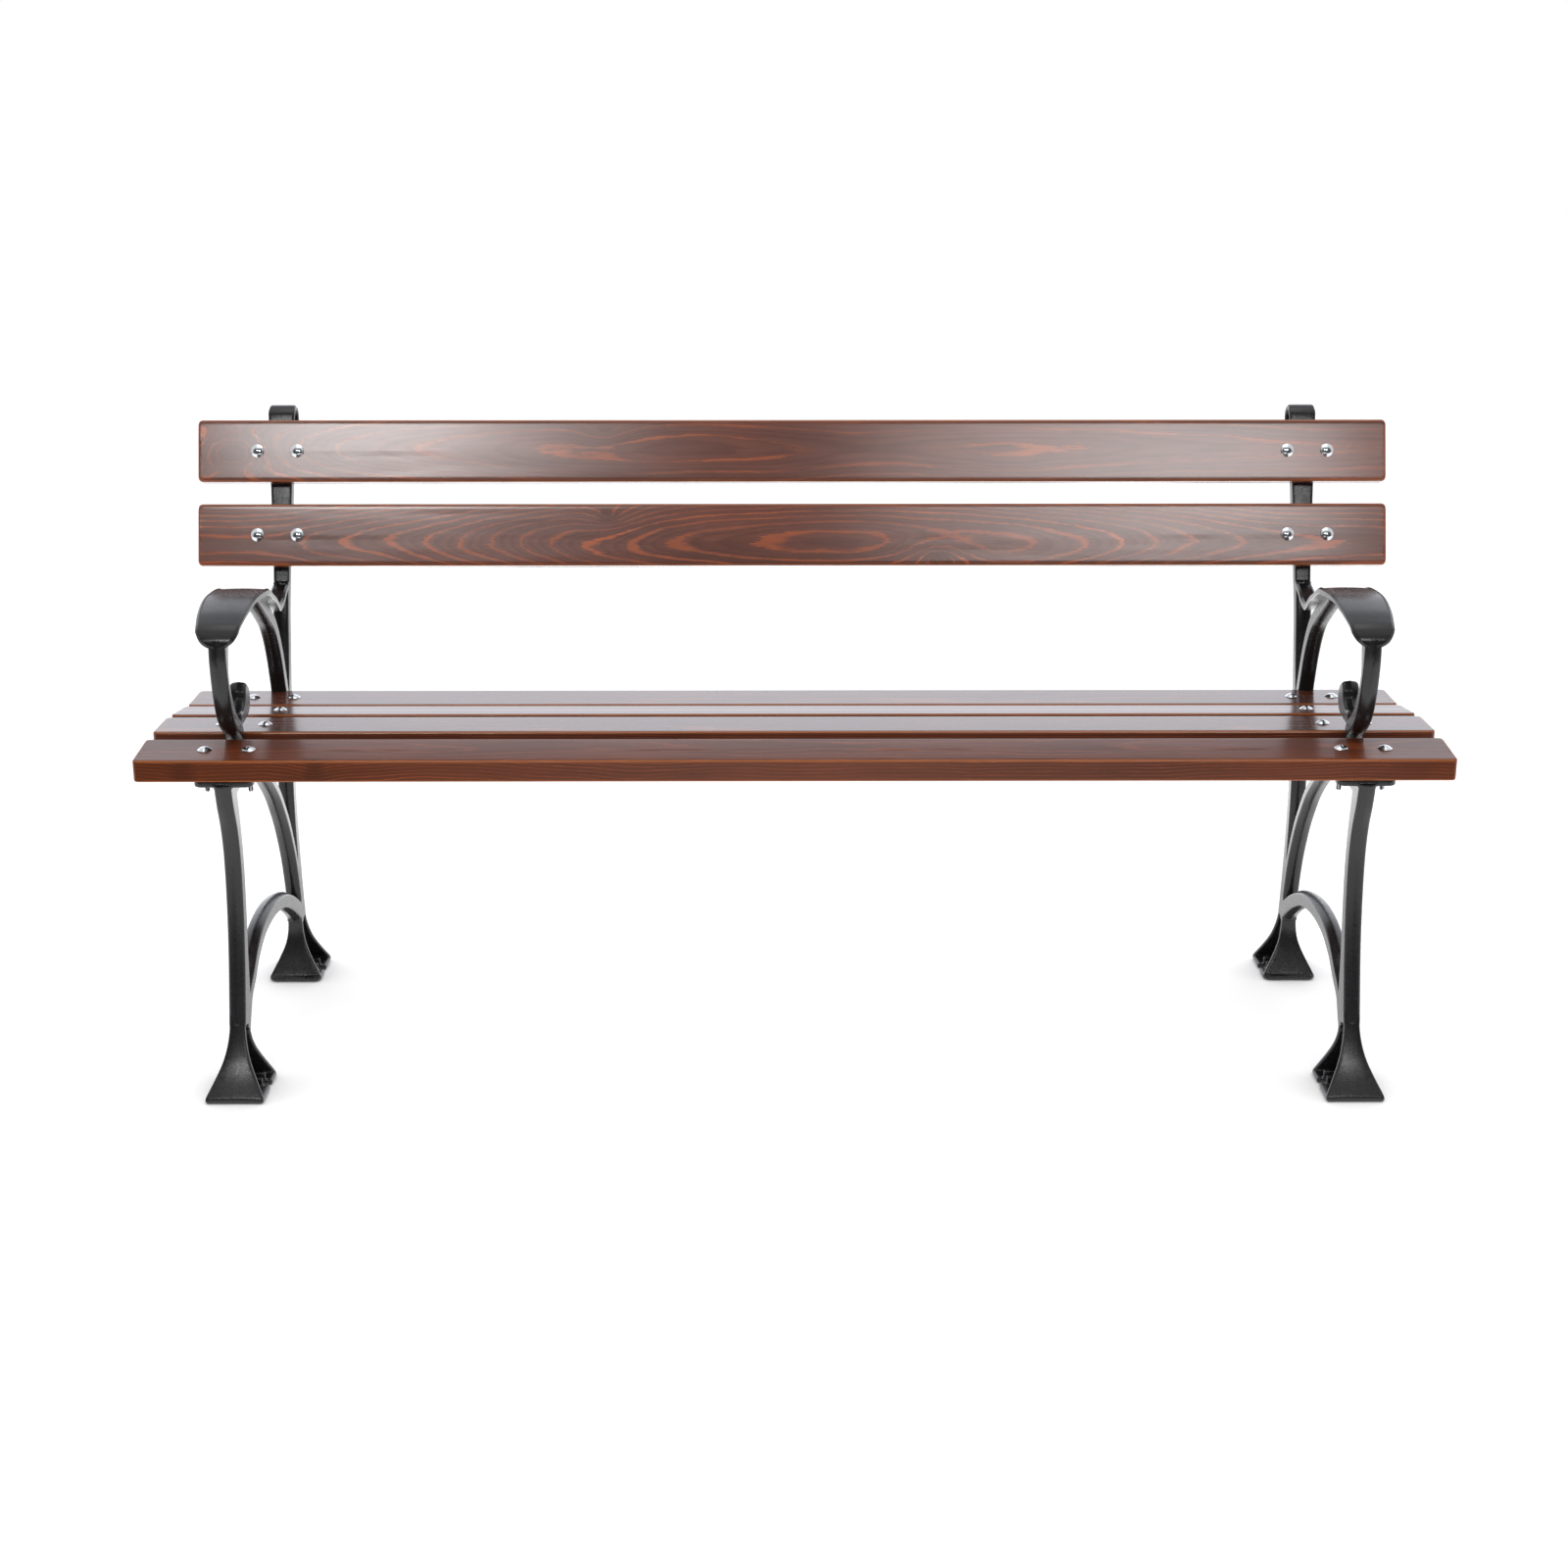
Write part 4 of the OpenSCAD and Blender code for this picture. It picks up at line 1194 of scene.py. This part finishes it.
class BenchCastingSettings(bpy.types.PropertyGroup):
    skin_step: a_length("Skin step", "Size of the grid that fuses a casting's parts", 0.00105, 0.0008, 0.004)
    soften_steps: a_number("Softening", "How far edges and corners are rounded", 3, 20)
    keep_share: a_share("Faces kept", "Share of the fused faces that stay", 0.24, 0.05)
    paint_colour: a_colour("Paint", "Colour of the black paint", (0.0085, 0.0085, 0.0095))
    worn_colour: a_colour("Worn edge", "Colour where the paint is thin on edges", (0.035, 0.034, 0.033))
    paint_roughness: a_share("Paint roughness", "How dull the paint is", 0.27, 0.1)


class BenchSlatSettings(bpy.types.PropertyGroup):
    edge_radius: a_length("Edge radius", "Rounding of the long edges", 0.003, 0.0005, 0.008)
    corner_radius: a_length("Corner radius", "Rounding of the corners of the faces", 0.006, 0.001, 0.02)
    stain_colour: a_colour("Stain", "Colour of the stained wood between the rings", (0.168, 0.055, 0.036))
    ring_colour: a_colour("Rings", "Colour of the late wood, which takes less stain", (0.58, 0.125, 0.03))
    # The slats' edge colour is a painted highlight along their rounded edges.
    edge_highlight_colour: a_colour("Edges", "Colour where the stain is thin on the edges", (0.38, 0.11, 0.028))
    varnish_roughness: a_share("Varnish roughness", "How dull the varnish is", 0.17, 0.05)


class BenchFastenerSettings(bpy.types.PropertyGroup):
    zinc_colour: a_colour("Zinc", "Colour of the zinc plating", (0.82, 0.84, 0.86))
    turn_seed: a_number("Turn", "Seed for how each bolt and nut is turned", 4, 1000)


class BenchStageSettings(bpy.types.PropertyGroup):
    lens: bpy.props.FloatProperty(
        name="Lens", description="Focal length of the camera", default=61.19, min=20, max=200, unit="CAMERA"
    )
    sky: a_level("Room light", "Strength of the light from all round", 0.85, 4)
    rear_wall: a_level("Rear wall", "Extra light from the wall behind the bench", 0.58, 4)
    left_light: a_level("Left light", "Brightness of the soft box at the front left", 24, 50)
    right_light: a_level("Right light", "Brightness of the soft box at the front right", 12.5, 50)
    fill_light: a_level("Fill light", "Brightness of the fill from the front", 1.9, 50)
    top_light: a_level("Top light", "Brightness of the soft box above", 1.0, 50)
    floor_glow: a_level("Floor glow", "How far the floor is lifted towards white", 0.42, 1)
    floor_behind: a_level("Floor behind", "Extra light from the floor behind the bench", 1.62, 4)
    floor_patch: a_level("Floor patch", "Light of the floor in front, in the middle", 1.2, 4)
    floor_colour: a_colour("Floor", "Colour of the floor", (0.86, 0.86, 0.86))


# Operators


class BENCH_OT_castings(bpy.types.Operator):
    """Make the two cast iron side frames"""

    bl_idname = "bench.castings"
    bl_label = "Side frames"

    def execute(self, context):
        settings = context.scene.bench_casting
        paint = black_paint(settings)
        casting = cast_in_one(settings)
        for word, side in (("left", -1), ("right", 1)):
            bm = bmesh.new()
            bm.from_mesh(casting.data)
            for v in bm.verts:
                v.co.x = side * (FRAME_SPACING * MM / 2 - v.co.x)
            if side == 1:
                bmesh.ops.reverse_faces(bm, faces=bm.faces)
            mesh = mesh_of(bm, f"casting_{word}")
            mesh.materials.append(paint)
            smooth(mesh)
            fit(to_object(mesh.name, mesh), f"side_frame_{word}")
        bpy.data.objects.remove(casting)
        return {"FINISHED"}


class BENCH_OT_slats(bpy.types.Operator):
    """Make the four seat slats and the two back slats"""

    bl_idname = "bench.slats"
    bl_label = "Slats"

    def execute(self, context):
        settings = context.scene.bench_slats
        tree = slat_tree()
        knots_tree = knot_group()
        rounding = {"Edge Radius": settings.edge_radius, "Corner Radius": settings.corner_radius}
        for where, seat in SEATS.items():
            look = GRAIN[where]
            pine = stained_pine(f"stained_pine_{where}", seat, look, settings, knots_tree)
            values = {**SLAT_LENGTHS, **rounding, "Seed": look["seed"], "Material": pine}
            seed = bpy.data.meshes.new("slat_seed")
            piece = grown(f"{where}_board", seed, tree, seat, values, 40)
            # The node of "seat_front" is "seat_slat_front", and so on.
            fit(piece, where.replace("_", "_slat_"))
        return {"FINISHED"}


class BENCH_OT_bolts(bpy.types.Operator):
    """Make the carriage bolts of every slat"""

    bl_idname = "bench.bolts"
    bl_label = "Bolts"

    def execute(self, context):
        settings = context.scene.bench_fasteners
        fasteners(settings, "bolts", bolt_blank(), SLAT_THICKNESS, settings.turn_seed, 40)
        return {"FINISHED"}


class BENCH_OT_washers(bpy.types.Operator):
    """Make the washers under every ear"""

    bl_idname = "bench.washers"
    bl_label = "Washers"

    def execute(self, context):
        settings = context.scene.bench_fasteners
        fasteners(settings, "washers", washer_blank(), -EAR_THICKNESS - WASHER, settings.turn_seed, 40)
        return {"FINISHED"}


class BENCH_OT_nuts(bpy.types.Operator):
    """Make the nuts under every ear"""

    bl_idname = "bench.nuts"
    bl_label = "Nuts"

    def execute(self, context):
        settings = context.scene.bench_fasteners
        height = -EAR_THICKNESS - WASHER - NUT
        fasteners(settings, "nuts", nut_blank(), height, settings.turn_seed + 20, 25)
        return {"FINISHED"}


class BENCH_OT_stage(bpy.types.Operator):
    """Make the floor, the lights and the camera"""

    bl_idname = "bench.stage"
    bl_label = "Stage"

    def floor(self, settings):
        """A white floor, lifted a little for the camera, with the bench's shadow."""
        bm = bmesh.new()
        bmesh.ops.create_grid(bm, x_segments=24, y_segments=24, size=14.0)
        mesh = mesh_of(bm, "floor")
        material, graph, shader = new_material("white_floor")
        to_camera = graph.out("ShaderNodeLightPath", output="Is Camera Ray")
        x, y, _ = graph.parts(graph.out("ShaderNodeNewGeometry", output="Position"))
        # The camera sees it white; it is dark in reflections before the bench and bright behind it.
        bounce = graph.mix(y.step(-1.6, -0.6), (0.03, 0.03, 0.032), (0.92, 0.92, 0.92))
        behind = y.step(0.3, 1.1) - y.step(1.35, 2.1) * 0.75 + y.step(3.0, 5.0) * 0.45
        glow = (behind * settings.floor_behind).most(y.step(-1.5, -0.9) * 0.45)
        # A bright patch in front, which the seat's front face mirrors in its middle.
        patch = y.step(-2.5, -1.9) * y.step(-0.9, -1.3) * x.do("ABSOLUTE").step(1.15, 0.1)
        glow = glow.most(patch * settings.floor_patch)
        # The lift fades where the feet stand, so that they keep their shadow.
        clear = graph.out("ShaderNodeAmbientOcclusion", {"Distance": 0.09}, "AO", samples=12)
        lift = clear.do("POWER", 1.5) * settings.floor_glow
        light = {"Color": (1, 1, 1), "Strength": graph.choose(to_camera, glow, lift)}
        emission = graph.out("ShaderNodeEmission", light)
        surface = Wire(graph, shader.outputs["BSDF"])
        both = graph.out("ShaderNodeAddShader", {0: surface, 1: emission})
        graph.feed(shader, {
            "Base Color": graph.mix(to_camera, bounce, settings.floor_colour),
            "Roughness": 0.7,
            "Specular IOR Level": 0.2,
        })
        graph.feed(next(n for n in graph.tree.nodes if n.type == "OUTPUT_MATERIAL"), {"Surface": both})
        mesh.materials.append(material)
        to_object("floor", mesh)

    def room(self, scene, settings):
        """White behind the bench and in its reflections, dimmer on the camera's side."""
        world = bpy.data.worlds.new("studio")
        scene.world = world
        world.use_nodes = True
        world.node_tree.nodes.clear()
        graph = Graph(world.node_tree)
        _, y, z = graph.parts(graph.out("ShaderNodeTexCoord", output="Generated"))
        dim = y.step(-0.1, -0.6) * z.step(0.95, 0.6) * (settings.sky * 0.93)
        behind = y.step(0.25, 0.7)
        level = settings.sky - dim + behind * z.step(0.72, 0.5) * settings.rear_wall
        to_camera = graph.out("ShaderNodeLightPath", output="Is Camera Ray")
        cool = graph.mix(behind, (1, 1, 1), (0.97, 0.99, 1.06))
        light = {
            "Color": graph.mix(to_camera, cool, (1, 1, 1)),
            "Strength": graph.choose(to_camera, level, 1.0),
        }
        graph.add("ShaderNodeOutputWorld", {"Surface": graph.out("ShaderNodeBackground", light)})

    def soft_box(self, name, place, turn, size, level):
        """Adds a rectangular lamp; level is how bright it looks."""
        lamp = bpy.data.lights.new(name, "AREA")
        lamp.shape = "RECTANGLE"
        lamp.size, lamp.size_y = size
        lamp.energy = level * math.pi * size[0] * size[1]
        light = to_object(name, lamp)
        light.location = place
        light.rotation_euler = (math.radians(turn), 0, 0)
        return light

    def soft_boxes(self, settings):
        """Two soft boxes at the front, in strips that grow dimmer inwards, one above and a fill."""
        y = -2.95
        heights = {"left": (2.0, 2.4), "right": (1.78, 2.3)}
        levels = {"left": settings.left_light, "right": settings.right_light}
        for side, strip, x0, x1, share_of_light in (
            ("left", "outer", -1.4, -0.84, 1),
            ("left", "inner", -0.84, -0.6, 0.5),
            ("left", "edge", -0.6, -0.36, 0.2),
            ("right", "edge", 0.24, 0.54, 0.42),
            ("right", "inner", 0.54, 0.84, 0.74),
            ("right", "outer", 0.84, 1.42, 1),
        ):
            z0, z1 = heights[side]
            place = ((x0 + x1) / 2, y, (z0 + z1) / 2)
            level = share_of_light * levels[side]
            self.soft_box(f"soft_box_{side}_{strip}", place, 90, (x1 - x0, z1 - z0), level)
        self.soft_box("soft_box_above", (0.0, 0.1, 3.2), 0, (2.6, 1.4), settings.top_light)
        fill = self.soft_box("fill", (0.4, -3.6, 1.5), 86, (3.0, 2.0), settings.fill_light)
        fill.visible_glossy = False

    def camera(self, scene, settings):
        """The camera in the photo's place."""
        camera = bpy.data.cameras.new("camera")
        camera.lens = settings.lens
        camera.sensor_width = 36
        camera.clip_end = 60
        view = to_object("camera", camera)
        view.location = CAMERA_PLACE
        view.rotation_euler = Euler((math.radians(90 - CAMERA_PITCH), 0, math.radians(-CAMERA_YAW)))
        scene.camera = view

    def execute(self, context):
        scene = context.scene
        settings = scene.bench_stage
        scene.view_settings.view_transform = "Standard"
        self.floor(settings)
        self.room(scene, settings)
        self.soft_boxes(settings)
        self.camera(scene, settings)
        return {"FINISHED"}


class BENCH_PT_looks(bpy.types.Panel):
    """Lists the pieces of the bench"""

    bl_label = "Garden bench"
    bl_idname = "BENCH_PT_looks"
    bl_space_type = "VIEW_3D"
    bl_region_type = "UI"
    bl_category = "Bench"

    def draw(self, context):
        scene = context.scene
        for group, operators in (
            (scene.bench_casting, (BENCH_OT_castings,)),
            (scene.bench_slats, (BENCH_OT_slats,)),
            (scene.bench_fasteners, (BENCH_OT_bolts, BENCH_OT_washers, BENCH_OT_nuts)),
            (scene.bench_stage, (BENCH_OT_stage,)),
        ):
            box = self.layout.box()
            for operator in operators:
                box.operator(operator.bl_idname)
            for name in group.bl_rna.properties.keys():
                if name not in ("rna_type", "name"):
                    box.prop(group, name)


SETTINGS = {
    "bench_casting": BenchCastingSettings,
    "bench_slats": BenchSlatSettings,
    "bench_fasteners": BenchFastenerSettings,
    "bench_stage": BenchStageSettings,
}
CLASSES = (
    *SETTINGS.values(),
    BENCH_OT_castings,
    BENCH_OT_slats,
    BENCH_OT_bolts,
    BENCH_OT_washers,
    BENCH_OT_nuts,
    BENCH_OT_stage,
    BENCH_PT_looks,
)


def register():
    for kind in CLASSES:
        bpy.utils.register_class(kind)
    for name, group in SETTINGS.items():
        setattr(bpy.types.Scene, name, bpy.props.PointerProperty(type=group))


def unregister():
    for name in SETTINGS:
        delattr(bpy.types.Scene, name)
    for kind in reversed(CLASSES):
        bpy.utils.unregister_class(kind)


def main():
    register()
    bpy.ops.bench.stage()
    bpy.ops.bench.castings()
    bpy.ops.bench.slats()
    bpy.ops.bench.bolts()
    bpy.ops.bench.washers()
    bpy.ops.bench.nuts()


if __name__ == "__main__":
    main()
